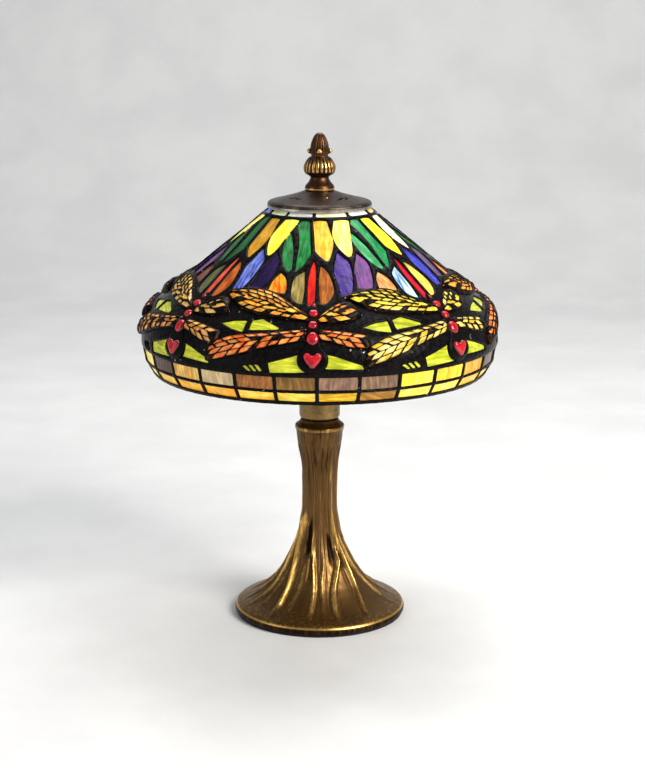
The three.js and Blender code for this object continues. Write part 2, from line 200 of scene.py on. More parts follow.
def art_glass():
    """Streaky opalescent glass lit from behind, that light painted on as a glow in its own colour. Each pane carries
    two colours and its own streak direction.
    """
    s = Shader("art_glass")
    flow = s.attribute("flow", "Vector")
    streaks = s.noise(s.place((0.42, 0.055, 1), flow), 1.0, 4.0, 0.6, 0.7)
    wisps = s.noise(s.place((0.16, 0.1, 1), flow), 1.0, 2.0, 0.5, 0.4)
    blend = s.ramp(streaks, 0.38, 0.64)
    colour = s.mix(blend, s.attribute("glass_a"), s.attribute("glass_b"))
    shade = s.ramp(wisps, 0.25, 0.8, 0.6, 1.05)
    colour = s.mix(1.0, colour, shade, "MULTIPLY")
    ripple = s.noise(s.place((0.35, 0.12, 0.35), flow), 1.0, 2.0)
    seeds = s.noise(s.place((1.6, 1.1, 1), flow), 1.0, 1.0)
    height = s.maths("ADD", ripple, s.maths("MULTIPLY", seeds, 0.25))
    rough = s.ramp(seeds, 0.3, 0.8, 0.1, 0.24)
    s.surface.inputs["IOR"].default_value = 1.52
    s.surface.inputs["Specular IOR Level"].default_value = 0.25
    return s.finish(colour=colour, glow=colour, glow_strength=GLASS_GLOW, roughness=rough,
                    normal=s.bump(height, 0.5, 0.5))


def bead_glass():
    """Pressed red glass, the light through it painted on as a glow, with painted shade darkening the rim of each
    bead.
    """
    s = Shader("bead_glass")
    cloud = s.noise(s.place((0.25, 0.25, 0.25)), 1.0, 3.0, 0.6, 0.5)
    colour = s.mix(s.ramp(cloud, 0.35, 0.65), srgb(0.50, 0.02, 0.07), srgb(0.74, 0.07, 0.12))
    # painted shade: each bead is made darker towards its rim, where its dome falls away
    colour = s.mix(s.attribute("ridge", "Fac"), srgb(0.22, 0.01, 0.04), colour)
    s.surface.inputs["Coat Weight"].default_value = 0.25
    return s.finish(colour=colour, glow=colour, glow_strength=0.35, roughness=s.ramp(cloud, 0.3, 0.7, 0.08, 0.16))


def solder():
    """Black patina on hand-run solder, with small bright spots where it has rubbed off, which also serve as painted
    glints.
    """
    s = Shader("solder")
    place = s.place()
    waves = s.noise(place, 0.42, 3.0)
    spots = s.noise(place, 0.30, 2.0, 0.4, 0.5)
    # bright spots of rubbed solder, which also serve as painted glints
    wear_and_glints = s.ramp(spots, 0.735, 0.79)
    brown = s.mix(s.ramp(waves, 0.3, 0.7), (0.002, 0.002, 0.003, 1), (0.008, 0.006, 0.006, 1))
    colour = s.mix(wear_and_glints, brown, (0.5, 0.5, 0.53, 1))
    rough = s.ramp(waves, 0.3, 0.75, 0.18, 0.34)
    s.surface.inputs["Specular IOR Level"].default_value = 0.06
    return s.finish(colour=colour, roughness=rough, metallic=wear_and_glints, normal=s.bump(waves, 0.3, 0.3))


def filigree_brass():
    """Etched brass, blackened, with a warm brown left along the tops of the veins."""
    s = Shader("filigree_brass")
    place = s.place()
    grain = s.noise(place, 1.3, 2.0)
    rub = s.ramp(s.noise(place, 0.28, 2.0), 0.5, 0.72)
    lift = s.maths("MULTIPLY", s.attribute("ridge", "Fac"), rub)
    colour = s.mix(lift, (0.004, 0.003, 0.003, 1), (0.075, 0.032, 0.013, 1))
    s.surface.inputs["Metallic"].default_value = 0.3
    s.surface.inputs["Specular IOR Level"].default_value = 0.08
    return s.finish(colour=colour, roughness=s.ramp(grain, 0.3, 0.7, 0.28, 0.45), normal=s.bump(grain, 0.12, 0.4))


def bronze(name, hollow, face, edge, streaks=(0.12, 0.12, 0.04), rough=(0.3, 0.5)):
    """Antique bronze: dark in the hollows, brown on the faces and rubbed gold along the ridges."""
    s = Shader(name)
    ridge = s.attribute("ridge", "Fac")
    stain = s.noise(s.place(streaks), 1.0, 5.0, 0.62, 0.4)
    grain = s.noise(s.place(), 1.1, 3.0)
    height = s.maths("ADD", ridge, s.maths("MULTIPLY", s.maths("SUBTRACT", stain, 0.5), 0.8))
    colour = s.mix(s.ramp(height, 0.12, 0.5), hollow, face)
    colour = s.mix(s.ramp(height, 0.55, 0.95), colour, edge)
    roughness = s.maths("ADD", s.ramp(height, 0.2, 0.9, rough[1], rough[0]), s.ramp(grain, 0.3, 0.7, -0.05, 0.05))
    s.surface.inputs["Metallic"].default_value = 0.92
    return s.finish(colour=colour, roughness=roughness, normal=s.bump(grain, 0.1, 0.35))


def plain_metal(name, dark, light, rough=(0.22, 0.4), brushed=(0.05, 0.05, 0.6)):
    """Turned or drawn metal with fine marks round it and a little tarnish."""
    s = Shader(name)
    marks = s.noise(s.place(brushed), 1.0, 3.0)
    tarnish_and_sheen = s.noise(s.place((0.06, 0.06, 0.06)), 1.0, 4.0, 0.6, 0.3)
    colour = s.mix(s.ramp(tarnish_and_sheen, 0.35, 0.7), light, dark)
    s.surface.inputs["Metallic"].default_value = 0.95
    return s.finish(colour=colour, roughness=s.ramp(marks, 0.3, 0.7, *rough), normal=s.bump(marks, 0.05, 0.3))


def dull(name, dark, light, scale, rough, depth=0.3):
    """Felt, rubber, porcelain, iron or moulded plastic: a speckled, uneven matt surface."""
    s = Shader(name)
    speck = s.noise(s.place((scale, scale, scale)), 1.0, 4.0, 0.65)
    colour = s.mix(s.ramp(speck, 0.3, 0.7), dark, light)
    return s.finish(colour=colour, roughness=s.ramp(speck, 0.3, 0.7, *rough), normal=s.bump(speck, depth, 0.5))


def bulb_glass():
    """Frosted bulb glass with a soft warm glow."""
    s = Shader("bulb_glass")
    frost = s.noise(s.place(), 0.8, 2.0)
    colour = s.mix(s.ramp(frost, 0.3, 0.7), (0.95, 0.9, 0.8, 1), (1.0, 0.97, 0.9, 1))
    return s.finish(colour=colour, glow=(1.0, 0.82, 0.55, 1), glow_strength=1.4,
                    roughness=s.ramp(frost, 0.3, 0.7, 0.25, 0.45))


def floor_paint():
    s = Shader("floor_paint")
    cloud = s.noise(s.place((0.01, 0.01, 0.01)), 1.0, 4.0)
    colour = s.mix(s.ramp(cloud, 0.3, 0.7), (0.72, 0.72, 0.72, 1), (0.78, 0.78, 0.775, 1))
    return s.finish(colour=colour, roughness=s.ramp(cloud, 0.3, 0.7, 0.45, 0.6))


MATERIALS = {
    "art_glass": art_glass(),
    "bead_glass": bead_glass(),
    "solder": solder(),
    "filigree": filigree_brass(),
    "trunk": bronze("trunk_bronze", srgb(0.12, 0.075, 0.045), srgb(0.43, 0.315, 0.17), srgb(0.86, 0.68, 0.36),
                    (0.45, 0.45, 0.035)),
    "finial": bronze("finial_bronze", srgb(0.08, 0.05, 0.04), srgb(0.32, 0.21, 0.13), srgb(0.86, 0.66, 0.38),
                     (0.2, 0.2, 0.2), (0.22, 0.42)),
    "cap": bronze("cap_bronze", srgb(0.07, 0.055, 0.05), srgb(0.25, 0.205, 0.175), srgb(0.74, 0.70, 0.64),
                  (0.1, 0.1, 0.1), (0.26, 0.42)),
    "antique_brass": plain_metal("antique_brass", srgb(0.32, 0.25, 0.14), srgb(0.54, 0.44, 0.27), (0.24, 0.34)),
    "brass": plain_metal("plain_brass", srgb(0.62, 0.47, 0.22), srgb(0.85, 0.70, 0.40)),
    "steel": plain_metal("plated_steel", srgb(0.55, 0.55, 0.53), srgb(0.78, 0.78, 0.76)),
    "aluminium": plain_metal("bulb_cap", srgb(0.66, 0.66, 0.66), srgb(0.85, 0.85, 0.86)),
    "iron": dull("cast_iron", (0.012, 0.012, 0.013, 1), (0.04, 0.04, 0.042, 1), 0.6, (0.6, 0.85), 0.6),
    "felt": dull("black_felt", (0.004, 0.004, 0.004, 1), (0.02, 0.02, 0.02, 1), 2.2, (0.9, 1.0), 0.6),
    "rubber": dull("black_rubber", (0.008, 0.008, 0.008, 1), (0.02, 0.02, 0.02, 1), 1.0, (0.6, 0.8)),
    "phenolic": dull("phenolic", (0.010, 0.008, 0.007, 1), (0.03, 0.024, 0.02, 1), 0.3, (0.25, 0.4), 0.05),
    "bulb_glass": bulb_glass(),
    "floor": floor_paint(),
}


def add_floor():
    """A pale floor that curves up into a backdrop."""
    half, front, back, rise, radius, steps = 2.4, -2.2, 1.9, 1.4, 0.7, 16  # metres, but for steps
    line = [(front, 0.0), (back - radius, 0.0)]
    for i in range(1, steps + 1):
        angle = math.pi / 2 * i / steps
        line.append((back - radius + radius * math.sin(angle), radius - radius * math.cos(angle)))
    line.append((back, rise))
    verts = [(x, y, z) for y, z in line for x in (-half, half)]
    faces = [(2 * i, 2 * i + 1, 2 * i + 3, 2 * i + 2) for i in range(len(line) - 1)]
    mesh = bpy.data.meshes.new("floor")
    mesh.from_pydata(verts, [], faces)
    mesh.shade_smooth()
    mesh.materials.append(MATERIALS["floor"])
    floor = bpy.data.objects.new("floor", mesh)
    bpy.context.scene.collection.objects.link(floor)


# ---------------------------------------------------------------- meshes


ATTRIBUTE_KINDS = {1: ("FLOAT", "value"), 3: ("FLOAT_VECTOR", "vector"), 4: ("FLOAT_COLOR", "color")}


def add_piece(name, verts, faces, material, body, replaces, slot, attributes=None, sharp=40):
    """One named piece from points in millimetres, riding a body and replacing CAD nodes. attributes maps a name to
    one number, vector or colour for each point, and sharp is the angle that is left as an edge."""
    mesh = bpy.data.meshes.new(name)
    points = np.asarray(verts, float) * MM
    mesh.from_pydata(points.tolist(), [], [list(map(int, face)) for face in faces])
    for key, values in (attributes or {}).items():
        values = np.asarray(values, np.float32)
        kind, field = ATTRIBUTE_KINDS[1 if values.ndim == 1 else values.shape[1]]
        mesh.attributes.new(key, kind, "POINT").data.foreach_set(field, values.ravel())
    mesh.shade_smooth()
    mesh.set_sharp_from_angle(angle=math.radians(sharp))
    mesh.materials.append(MATERIALS[material])
    piece = bpy.data.objects.new(name, mesh)
    bpy.context.scene.collection.objects.link(piece)
    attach(piece, body)
    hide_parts(*replaces)
    return piece


def rounded(points, steps=6, closed=False):
    """A smooth line through points (Catmull-Rom), with steps pieces between neighbours."""
    p = np.asarray(points, float)
    count = len(p)
    made = []
    for i in range(count if closed else count - 1):
        if closed:
            a, b, c, d = (p[(i + k) % count] for k in (-1, 0, 1, 2))
        else:
            a, b, c, d = p[max(i - 1, 0)], p[i], p[i + 1], p[min(i + 2, count - 1)]
        for k in range(steps):
            t = k / steps
            made.append(0.5 * (2 * b + (c - a) * t + (2 * a - 5 * b + 4 * c - d) * t**2
                               + (3 * b - a - 3 * c + d) * t**3))
    if not closed:
        made.append(p[-1])
    return np.array(made)


def revolve(profile, steps=96, warp=None):
    """Points, faces and ridge values of a profile turned about Z. A profile that is off the axis closes on itself.
    warp(azimuths, radii, heights, row) gives a row's radii and heights moved, and its ridge values."""
    profile = np.asarray(profile, float)
    on_axis = profile[:, 0] < 1e-6
    rows, verts, ridge, faces = [], [], [], []
    turn = np.linspace(0, 2 * math.pi, steps, endpoint=False)
    for k, (r, z) in enumerate(profile):
        start = len(verts)
        if on_axis[k]:
            verts.append((0.0, 0.0, z))
            ridge.append(0.5)
            rows.append([start] * steps)
            continue
        radius, height, value = (np.full(steps, r), np.full(steps, z), np.full(steps, 0.5))
        if warp:
            radius, height, value = warp(turn, radius, height, k)
        verts += list(zip(radius * np.sin(turn), -radius * np.cos(turn), height))
        ridge += list(value)
        rows.append(list(range(start, start + steps)))
    closed = not on_axis.any()
    last = len(rows) if closed else len(rows) - 1
    for k in range(last):
        a, b = rows[k], rows[(k + 1) % len(rows)]
        for i in range(steps):
            j = (i + 1) % steps
            face = [a[i], a[j], b[j], b[i]]
            face = [v for n, v in enumerate(face) if v != face[n - 1]]
            if len(face) > 2:
                faces.append(face)
    return np.array(verts), outward(np.array(verts), faces), np.array(ridge)


def outward(verts, faces):
    """The faces of a closed surface, turned if they point inwards."""
    volume = sum(np.dot(verts[f[0]], np.cross(verts[f[k]], verts[f[k + 1]]))
                 for f in faces for k in range(1, len(f) - 1))
    return faces if volume > 0 else [face[::-1] for face in faces]


def joined(meshes):
    """Several (points, faces) meshes as one."""
    verts, faces, start = [], [], 0
    for points, polygons in meshes:
        verts.append(points)
        faces += [[i + start for i in face] for face in polygons]
        start += len(points)
    return np.vstack(verts), faces


def between_skins(outer, inner, tris):
    """A closed mesh between two skins that share their triangles, which face out of the outer one."""
    count = len(outer)
    edges = np.vstack([tris[:, [0, 1]], tris[:, [1, 2]], tris[:, [2, 0]]])
    keys = {(int(p), int(q)) for p, q in edges}
    walls = sorted((p, p + count, q + count, q) for p, q in keys if (q, p) not in keys)
    return np.vstack([outer, inner]), tris.tolist() + (tris[:, ::-1] + count).tolist() + walls


def add_turned(name, profile, material, body, replaces, slot, steps=96, warp=None, sharp=35):
    verts, faces, ridge = revolve(profile, steps, warp)
    return add_piece(name, verts, faces, material, body, replaces, slot, {"ridge": ridge}, sharp)


# ---------------------------------------------------------------- the shade's surface

SECTORS = 7
GLASS = 2.8  # thickness
CONE_TOP = (34.0, 296.6)  # radius and height
CONE_END_R = 112.0
CONE_SLOPE = 0.82
SHOULDER_R = 36.0
BAND = [(125.2, 203.0), (122.9, 191.7), (117.3, 182.4)]  # the border's two rows, as radius and height


def shade_profile():
    """Distance down the surface, radius, height and outward normal, in quarter-millimetre steps."""
    fall = math.atan(CONE_SLOPE)
    centre = (CONE_END_R - SHOULDER_R * math.sin(fall),
              CONE_TOP[1] - CONE_SLOPE * (CONE_END_R - CONE_TOP[0]) - SHOULDER_R * math.cos(fall))
    angles = np.linspace(fall, math.pi / 2, 40)
    arc = [(centre[0] + SHOULDER_R * math.sin(a), centre[1] + SHOULDER_R * math.cos(a)) for a in angles]
    corners = np.array([CONE_TOP, *arc, *BAND])
    steps = np.hypot(*np.diff(corners, axis=0).T)
    at = np.concatenate([[0], np.cumsum(steps)])
    along = np.arange(-4, at[-1] + 4, 0.25)
    line = np.stack([np.interp(along, at, corners[:, k]) for k in (0, 1)], axis=1)
    line[along < 0] = corners[0] + (along[along < 0] / steps[0])[:, None] * (corners[1] - corners[0])
    past = along > at[-1]
    line[past] = corners[-1] + ((along[past] - at[-1]) / steps[-1])[:, None] * (corners[-1] - corners[-2])
    kernel = np.hanning(9) / np.hanning(9).sum()
    slope = np.gradient(line, axis=0)
    slope = np.stack([np.convolve(np.pad(slope[:, k], 4, "edge"), kernel, "valid") for k in (0, 1)], axis=1)
    slope /= np.linalg.norm(slope, axis=1)[:, None]
    return along, line, np.stack([-slope[:, 1], slope[:, 0]], axis=1), at[-1]


ALONG, LINE, NORMAL, RIM_AT = shade_profile()
BAND_TOP_AT = RIM_AT - math.dist(BAND[0], BAND[1]) - math.dist(BAND[1], BAND[2])
BAND_MID_AT = RIM_AT - math.dist(BAND[1], BAND[2])


def radius_at(along):
    return np.interp(along, ALONG, LINE[:, 0])


def wrap(degrees, along, height):
    """Points on the shade, height millimetres proud of its surface."""
    turn = np.radians(degrees)
    r = radius_at(along) + height * np.interp(along, ALONG, NORMAL[:, 0])
    z = np.interp(along, ALONG, LINE[:, 1]) + height * np.interp(along, ALONG, NORMAL[:, 1])
    return np.stack([r * np.sin(turn), -r * np.cos(turn), z], axis=1)


FLAT_INNER = 24.0  # radius of the flattened shade at its crown


def flatten(points):
    """The flat plan of [degrees, along] points: a disc, in millimetres."""
    points = np.asarray(points, float)
    turn = np.radians(points[:, 0])
    r = FLAT_INNER + points[:, 1]
    return np.stack([r * np.sin(turn), -r * np.cos(turn)], axis=1)


def unflatten(flat):
    r = np.hypot(flat[:, 0], flat[:, 1])
    return np.stack([np.degrees(np.arctan2(flat[:, 0], -flat[:, 1])), r - FLAT_INNER], axis=1)


def resample(loop, spacing):
    """Points evenly spaced round a closed loop of [degrees, along], in true millimetres."""
    loop = np.asarray(loop, float)
    ends = np.vstack([loop, loop[:1]])
    mid_r = radius_at((ends[1:, 1] + ends[:-1, 1]) / 2)
    steps = np.hypot(np.radians(np.diff(ends[:, 0])) * mid_r, np.diff(ends[:, 1]))
    at = np.concatenate([[0], np.cumsum(steps)])
    count = max(6, int(round(at[-1] / spacing)))
    want = np.linspace(0, at[-1], count, endpoint=False)
    return np.stack([np.interp(want, at, ends[:, k]) for k in (0, 1)], axis=1)


def signed_area(flat):
    ahead = np.roll(flat, -1, 0)
    return np.sum(flat[:, 0] * ahead[:, 1] - ahead[:, 0] * flat[:, 1]) / 2


def loop_outward(flat):
    """Unit outward direction at each point of a flat closed loop."""
    ahead, behind = np.roll(flat, -1, 0), np.roll(flat, 1, 0)
    along = ahead - behind
    along /= np.maximum(np.linalg.norm(along, axis=1), 1e-9)[:, None]
    side = np.stack([along[:, 1], -along[:, 0]], axis=1)
    return side if signed_area(flat) > 0 else -side


def nearest(tree, flat):
    """Distance from each flat point to the nearest point in the tree."""
    return np.array([tree.find((x, y, 0))[2] for x, y in flat])


def tree_of(flat):
    tree = KDTree(len(flat))
    for i, (x, y) in enumerate(flat):
        tree.insert((x, y, 0), i)
    tree.balance()
    return tree


def inside(flat, loop):
    """Which flat points lie inside a flat closed loop."""
    x, y = flat[:, 0], flat[:, 1]
    hit = np.zeros(len(flat), bool)
    for (ax, ay), (bx, by) in zip(loop, np.roll(loop, -1, 0)):
        crosses = (ay > y) != (by > y)
        with np.errstate(divide="ignore", invalid="ignore"):
            hit ^= crosses & (x < (bx - ax) * (y - ay) / (by - ay) + ax)
    return hit


def triangulate(loops, extra):
    """Constrained triangles over flat loops and extra points. Returns the points, the triangles, the number of the
    loops that hold each triangle, and for each point the loop point that it came from (or -1)."""
    points, faces = [], []
    for loop in loops:
        ring = list(range(len(points), len(points) + len(loop)))
        faces.append(ring if signed_area(loop) > 0 else ring[::-1])
        points += [Vector((x, y)) for x, y in loop]
    own = len(points)
    points += [Vector((x, y)) for x, y in extra]
    verts, _, tris, origin, _, held = delaunay_2d_cdt(points, [], faces, 0, 1e-5, True)
    first = np.array([next((i for i in o if i < own), -1) for o in origin])
    return np.array([(v.x, v.y) for v in verts]), np.array(tris), held, first


SHADE_MIDDLE = (0, 0, 150.0)  # a point that the shade's outer skin faces away from


def skin_solid(points, tris, outer, inner):
    """A closed solid between two heights over flat triangles. points is [degrees, along]; the second half of the
    vertices is the inner skin."""
    used, compact = np.unique(tris, return_inverse=True)
    tris = compact.reshape(tris.shape)
    points, outer, inner = points[used], outer[used], inner[used]
    outer, inner = (wrap(points[:, 0], points[:, 1], height) for height in (outer, inner))
    a, b, c = (outer[tris[:, k]] for k in range(3))
    facing = np.einsum("ij,ij->i", np.cross(b - a, c - a), (a + b + c) / 3 - np.array(SHADE_MIDDLE))
    tris = np.where((facing > 0)[:, None], tris, tris[:, ::-1])
    return *between_skins(outer, inner, tris), used


def grid_over(lows, highs, spacing, seed):
    """Jittered points over a flat box, in alternate rows."""
    dice = random.Random(seed)
    points = []
    rows = int((highs[1] - lows[1]) / (spacing * 0.87)) + 1
    for j in range(rows):
        y = lows[1] + j * spacing * 0.87
        x = lows[0] + (spacing / 2 if j % 2 else 0)
        while x < highs[0]:
            points.append((x + dice.uniform(-0.12, 0.12) * spacing, y + dice.uniform(-0.12, 0.12) * spacing))
            x += spacing
    return np.array(points)


# ---------------------------------------------------------------- the pattern of the glass

GREENS = [[(0.03, 0.36, 0.14), (0.08, 0.52, 0.22)], [(0.04, 0.46, 0.22), (0.12, 0.66, 0.36)],
          [(0.04, 0.30, 0.12), (0.10, 0.42, 0.18)]]

# One sector's petals, as [degrees, along] outlines before the widening to the sector's pitch.
PETALS = {
    "leaf_left": [(-21, 19.5), (-18.5, 22), (-14, 33), (-12, 44), (-11.3, 53), (-13, 54), (-16.5, 48), (-20, 38),
                  (-22, 29), (-21.8, 23)],
    "leaf_right": [(-14.5, 8), (-10, 7.6), (-6, 8), (-3.5, 25), (-2, 38), (-3, 41), (-6, 49), (-9, 54), (-9.8, 40),
                   (-10.5, 30), (-13, 20), (-17, 12)],
    "amber": [(-3, 8), (3, 7.3), (10, 8), (12.5, 25), (11, 35), (8, 44.5), (6.5, 44), (1, 36), (0.3, 32), (-0.8, 20)],
    "yellow": [(16.5, 8), (24, 7.3), (32, 8), (27, 22), (24, 35), (21.5, 41), (19.5, 41), (16, 34), (14, 28),
               (13, 20)],
    "arch": [(-16, 56), (-13, 60), (-11.3, 68), (-11.5, 73.5), (-15, 72.6), (-19.3, 71), (-18.5, 62)],
    "khaki": [(-4.3, 53.5), (-3.3, 68), (-3.5, 82), (-5.5, 81), (-8, 77), (-9, 68), (-8.5, 59)],
    "red": [(0, 44.5), (1, 48), (1.5, 60), (1.2, 83), (-1.2, 83), (-1.9, 66), (-1.6, 54)],
    "brown": [(4, 49.5), (7, 54), (9, 64), (9, 73), (6, 81), (3.4, 82), (3, 60)],
    "violet": [(14, 36), (17, 41), (19.5, 47), (18.5, 62), (16, 75), (12, 75), (11.4, 64), (10.5, 52)],
    "purple": [(25.5, 38.5), (29.5, 47), (28.5, 60), (26, 71), (19.5, 69), (20.5, 60), (21, 52)],
}
PETAL_TURN = {"leaf_left": 14, "leaf_right": 4, "yellow": -10, "arch": 12, "purple": -8}

# Colour pairs of three neighbouring sectors: the front one, the one on its right and the one on its left.
PETAL_COLOURS = {
    "leaf_left": GREENS, "leaf_right": GREENS,
    "amber": [[(0.86, 0.64, 0.10), (0.93, 0.78, 0.28)], [(0.96, 0.86, 0.08), (1.0, 0.94, 0.30)],
              [(0.72, 0.50, 0.08), (0.84, 0.64, 0.20)]],
    "yellow": [[(0.98, 0.90, 0.18), (1.0, 0.97, 0.55)], [(0.95, 0.92, 0.72), (1.0, 0.99, 0.90)],
               [(0.95, 0.88, 0.14), (0.99, 0.95, 0.40)]],
    "arch": [[(0.80, 0.28, 0.04), (0.96, 0.66, 0.14)], [(0.78, 0.46, 0.20), (0.93, 0.68, 0.42)],
             [(0.36, 0.14, 0.12), (0.50, 0.24, 0.14)]],
    "khaki": [[(0.46, 0.40, 0.18), (0.62, 0.54, 0.30)], [(0.16, 0.40, 0.62), (0.78, 0.88, 0.93)],
              [(0.26, 0.30, 0.16), (0.40, 0.42, 0.26)]],
    "red": [[(0.72, 0.06, 0.04), (0.90, 0.14, 0.06)], [(0.62, 0.05, 0.13), (0.82, 0.12, 0.18)],
            [(0.78, 0.24, 0.14), (0.90, 0.38, 0.26)]],
    "brown": [[(0.50, 0.26, 0.10), (0.70, 0.42, 0.18)], [(0.80, 0.68, 0.22), (0.92, 0.82, 0.40)],
              [(0.60, 0.26, 0.08), (0.78, 0.40, 0.14)]],
    "violet": [[(0.15, 0.04, 0.40), (0.28, 0.10, 0.52)], [(0.13, 0.13, 0.58), (0.25, 0.27, 0.72)],
               [(0.18, 0.22, 0.58), (0.46, 0.52, 0.82)]],
    "purple": [[(0.27, 0.08, 0.35), (0.44, 0.18, 0.49)], [(0.27, 0.18, 0.34), (0.40, 0.29, 0.45)],
               [(0.07, 0.03, 0.16), (0.15, 0.06, 0.29)]],
}
SECTOR_SCHEME = [0, 1, 0, 2, 1, 0, 2]  # which colours the sectors take, going right from the front

# The sectors are laid out so that those in front are a little closer together than those behind.
FRONT_GAPS = (49.6, 48.4)  # degrees from the front dragonfly to the next on its right, and on its left
BACK_GAP = (360 - sum(FRONT_GAPS)) / (SECTORS - 2)
SECTOR_AT = [0.0] + [FRONT_GAPS[0] + BACK_GAP * k for k in range(SECTORS - 2)] + [-FRONT_GAPS[1]]
PETAL_SHIFT = -3.3  # the petals sit a little left of the wings
DRAWN_PITCH = 48.6  # the pitch that the outlines are drawn for

WING_PANES = {
    "upper_left": [(-34.5, 102.5), (-30, 99.5), (-25.5, 98.5), (-25.5, 107.5), (-30, 105.8)],
    "upper_right": [(-23.5, 98), (-20, 96), (-13.5, 102.5), (-13.5, 104), (-23.5, 105.5)],
    "foot_left": [(-15.5, 127), (-6, 121), (-5.5, 128), (-3.5, 132.3), (-15, 133.2)],
    "foot_right": [(1.5, 120.5), (5, 122.5), (12.5, 128.5), (13, 131), (0.5, 129.8)],
    "sliver_1": [(-23.6, 130.2), (-22.7, 129.5), (-20.9, 132.9), (-21.9, 133.1)],
    "sliver_2": [(-21.7, 129.3), (-20.8, 128.9), (-19.1, 132.8), (-20.1, 133)],
    "sliver_3": [(-19.8, 128.8), (-18.9, 128.5), (-17.3, 132.5), (-18.3, 132.8)],
}
PANE_GREEN = [(0.62, 0.66, 0.10), (0.84, 0.84, 0.26)]
# Wing glass of the upper and the lower wings, in each colour scheme.
WING_GLOW = [([(0.88, 0.46, 0.12), (0.96, 0.78, 0.30)], [(0.85, 0.36, 0.12), (0.93, 0.62, 0.32)]),
             ([(0.82, 0.66, 0.14), (0.95, 0.88, 0.36)], [(0.84, 0.68, 0.16), (0.92, 0.84, 0.50)]),
             ([(0.80, 0.56, 0.22), (0.93, 0.80, 0.46)], [(0.78, 0.44, 0.18), (0.90, 0.70, 0.40)])]

TILES = 28
# Colours of the border tiles from the fifth left of the front seam, going right.
UPPER_TILES = [
    ((0.34, 0.22, 0.12), (0.24, 0.14, 0.08)), ((0.93, 0.80, 0.42), (0.80, 0.55, 0.20)),
    ((0.78, 0.66, 0.46), (0.88, 0.80, 0.62)), ((0.50, 0.30, 0.12), (0.66, 0.42, 0.20)),
    ((0.42, 0.30, 0.12), (0.56, 0.40, 0.18)), ((0.44, 0.33, 0.28), (0.58, 0.44, 0.34)),
    ((0.40, 0.30, 0.22), (0.54, 0.42, 0.32)), ((0.95, 0.82, 0.16), (0.98, 0.90, 0.35)),
    ((0.95, 0.84, 0.20), (0.85, 0.56, 0.10)), ((0.90, 0.68, 0.14), (0.78, 0.50, 0.10)),
]
LOWER_TILES = [
    ((0.90, 0.66, 0.16), (0.98, 0.80, 0.30)), ((0.96, 0.74, 0.16), (0.90, 0.55, 0.10)),
    ((0.94, 0.58, 0.12), (0.98, 0.74, 0.22)), ((0.96, 0.72, 0.20), (1.00, 0.85, 0.35)),
    ((0.98, 0.80, 0.20), (1.00, 0.90, 0.40)), ((0.96, 0.80, 0.18), (0.85, 0.62, 0.10)),
    ((0.60, 0.40, 0.14), (0.74, 0.54, 0.20)), ((0.97, 0.85, 0.26), (1.00, 0.93, 0.45)),
    ((0.98, 0.88, 0.28), (1.00, 0.93, 0.45)), ((0.96, 0.80, 0.20), (0.90, 0.66, 0.16)),
]
CROWN_COLOURS = [
    ((0.93, 0.91, 0.72), (1.0, 0.98, 0.86)), ((0.96, 0.96, 0.94), (0.88, 0.89, 0.88)),
    ((0.90, 0.70, 0.30), (0.96, 0.82, 0.50)), ((0.92, 0.92, 0.86), (0.98, 0.97, 0.90)),
    ((0.80, 0.85, 0.75), (0.92, 0.94, 0.86)), ((0.95, 0.93, 0.82), (1.0, 0.98, 0.90)),
    ((0.90, 0.90, 0.88), (0.98, 0.98, 0.96)), ((0.84, 0.88, 0.74), (0.93, 0.94, 0.85)),
    ((0.94, 0.90, 0.74), (0.99, 0.96, 0.86)), ((0.30, 0.38, 0.80), (0.50, 0.58, 0.92)),
    ((0.76, 0.82, 0.62), (0.92, 0.94, 0.78)), ((0.78, 0.79, 0.78), (0.93, 0.93, 0.91)),
]
CROWN_EDGES = [-6, 32, 65, 95, 124, 153, 182, 211, 239, 267, 295, 323, 354]  # degrees
# A crown tile's outline, as shares of its width and millimetres down the surface.
CROWN_TILE = [(0.06, 0.9), (0.35, 0.9), (0.65, 0.9), (0.94, 0.9), (0.95, 4.6), (0.65, 4.7), (0.35, 4.7), (0.05, 4.6)]
BAND_SEAM = -0.8  # degrees from the front to a seam of the border


class Pane:
    """One piece of glass: its outline, its two colours and the way that its streaks run."""

    def __init__(self, group, loop, colours, streak=0.0, spacing=1.3):
        self.group = group
        self.loop = resample(loop, spacing)
        self.flat = flatten(self.loop)
        self.colours = [srgb(*c) for c in colours]
        self.streak = math.radians(streak)


def widened(points, sector, shift=0.0):
    """A sector's outline in its place on the shade, stretched on each side to fill the gap to its neighbour."""
    centre = SECTOR_AT[sector]
    right = (SECTOR_AT[(sector + 1) % SECTORS] - centre) % 360 / DRAWN_PITCH
    left = (centre - SECTOR_AT[sector - 1]) % 360 / DRAWN_PITCH
    return [(centre + shift + degrees * (right if degrees > 0 else left), along) for degrees, along in points]


def smooth_between_corners(points, steps=4, corner=48):
    """A closed outline made smooth, apart from where it turns sharply."""
    p = np.asarray(points, float)
    scale = np.array([math.radians(1) * float(radius_at(p[:, 1].mean())), 1.0])
    ahead, behind = (np.roll(p, -1, 0) - p) * scale, (p - np.roll(p, 1, 0)) * scale
    cross = behind[:, 0] * ahead[:, 1] - behind[:, 1] * ahead[:, 0]
    turn = np.degrees(np.abs(np.arctan2(cross, np.sum(ahead * behind, axis=1))))
    corners = [i for i in range(len(p)) if turn[i] > corner]
    if len(corners) < 2:
        return rounded(p, steps, closed=True)
    made = []
    for a, b in zip(corners, corners[1:] + [corners[0] + len(p)]):
        run = [p[i % len(p)] for i in range(a, b + 1)]
        made.append(rounded(run, steps)[:-1])
    return np.vstack(made)


def tile_outline(left, right, top, bottom):
    gap = 0.62  # half a solder line, in degrees
    across = np.linspace(left + gap, right - gap, 5)
    return [(a, top) for a in across] + [(a, bottom) for a in across[::-1]]


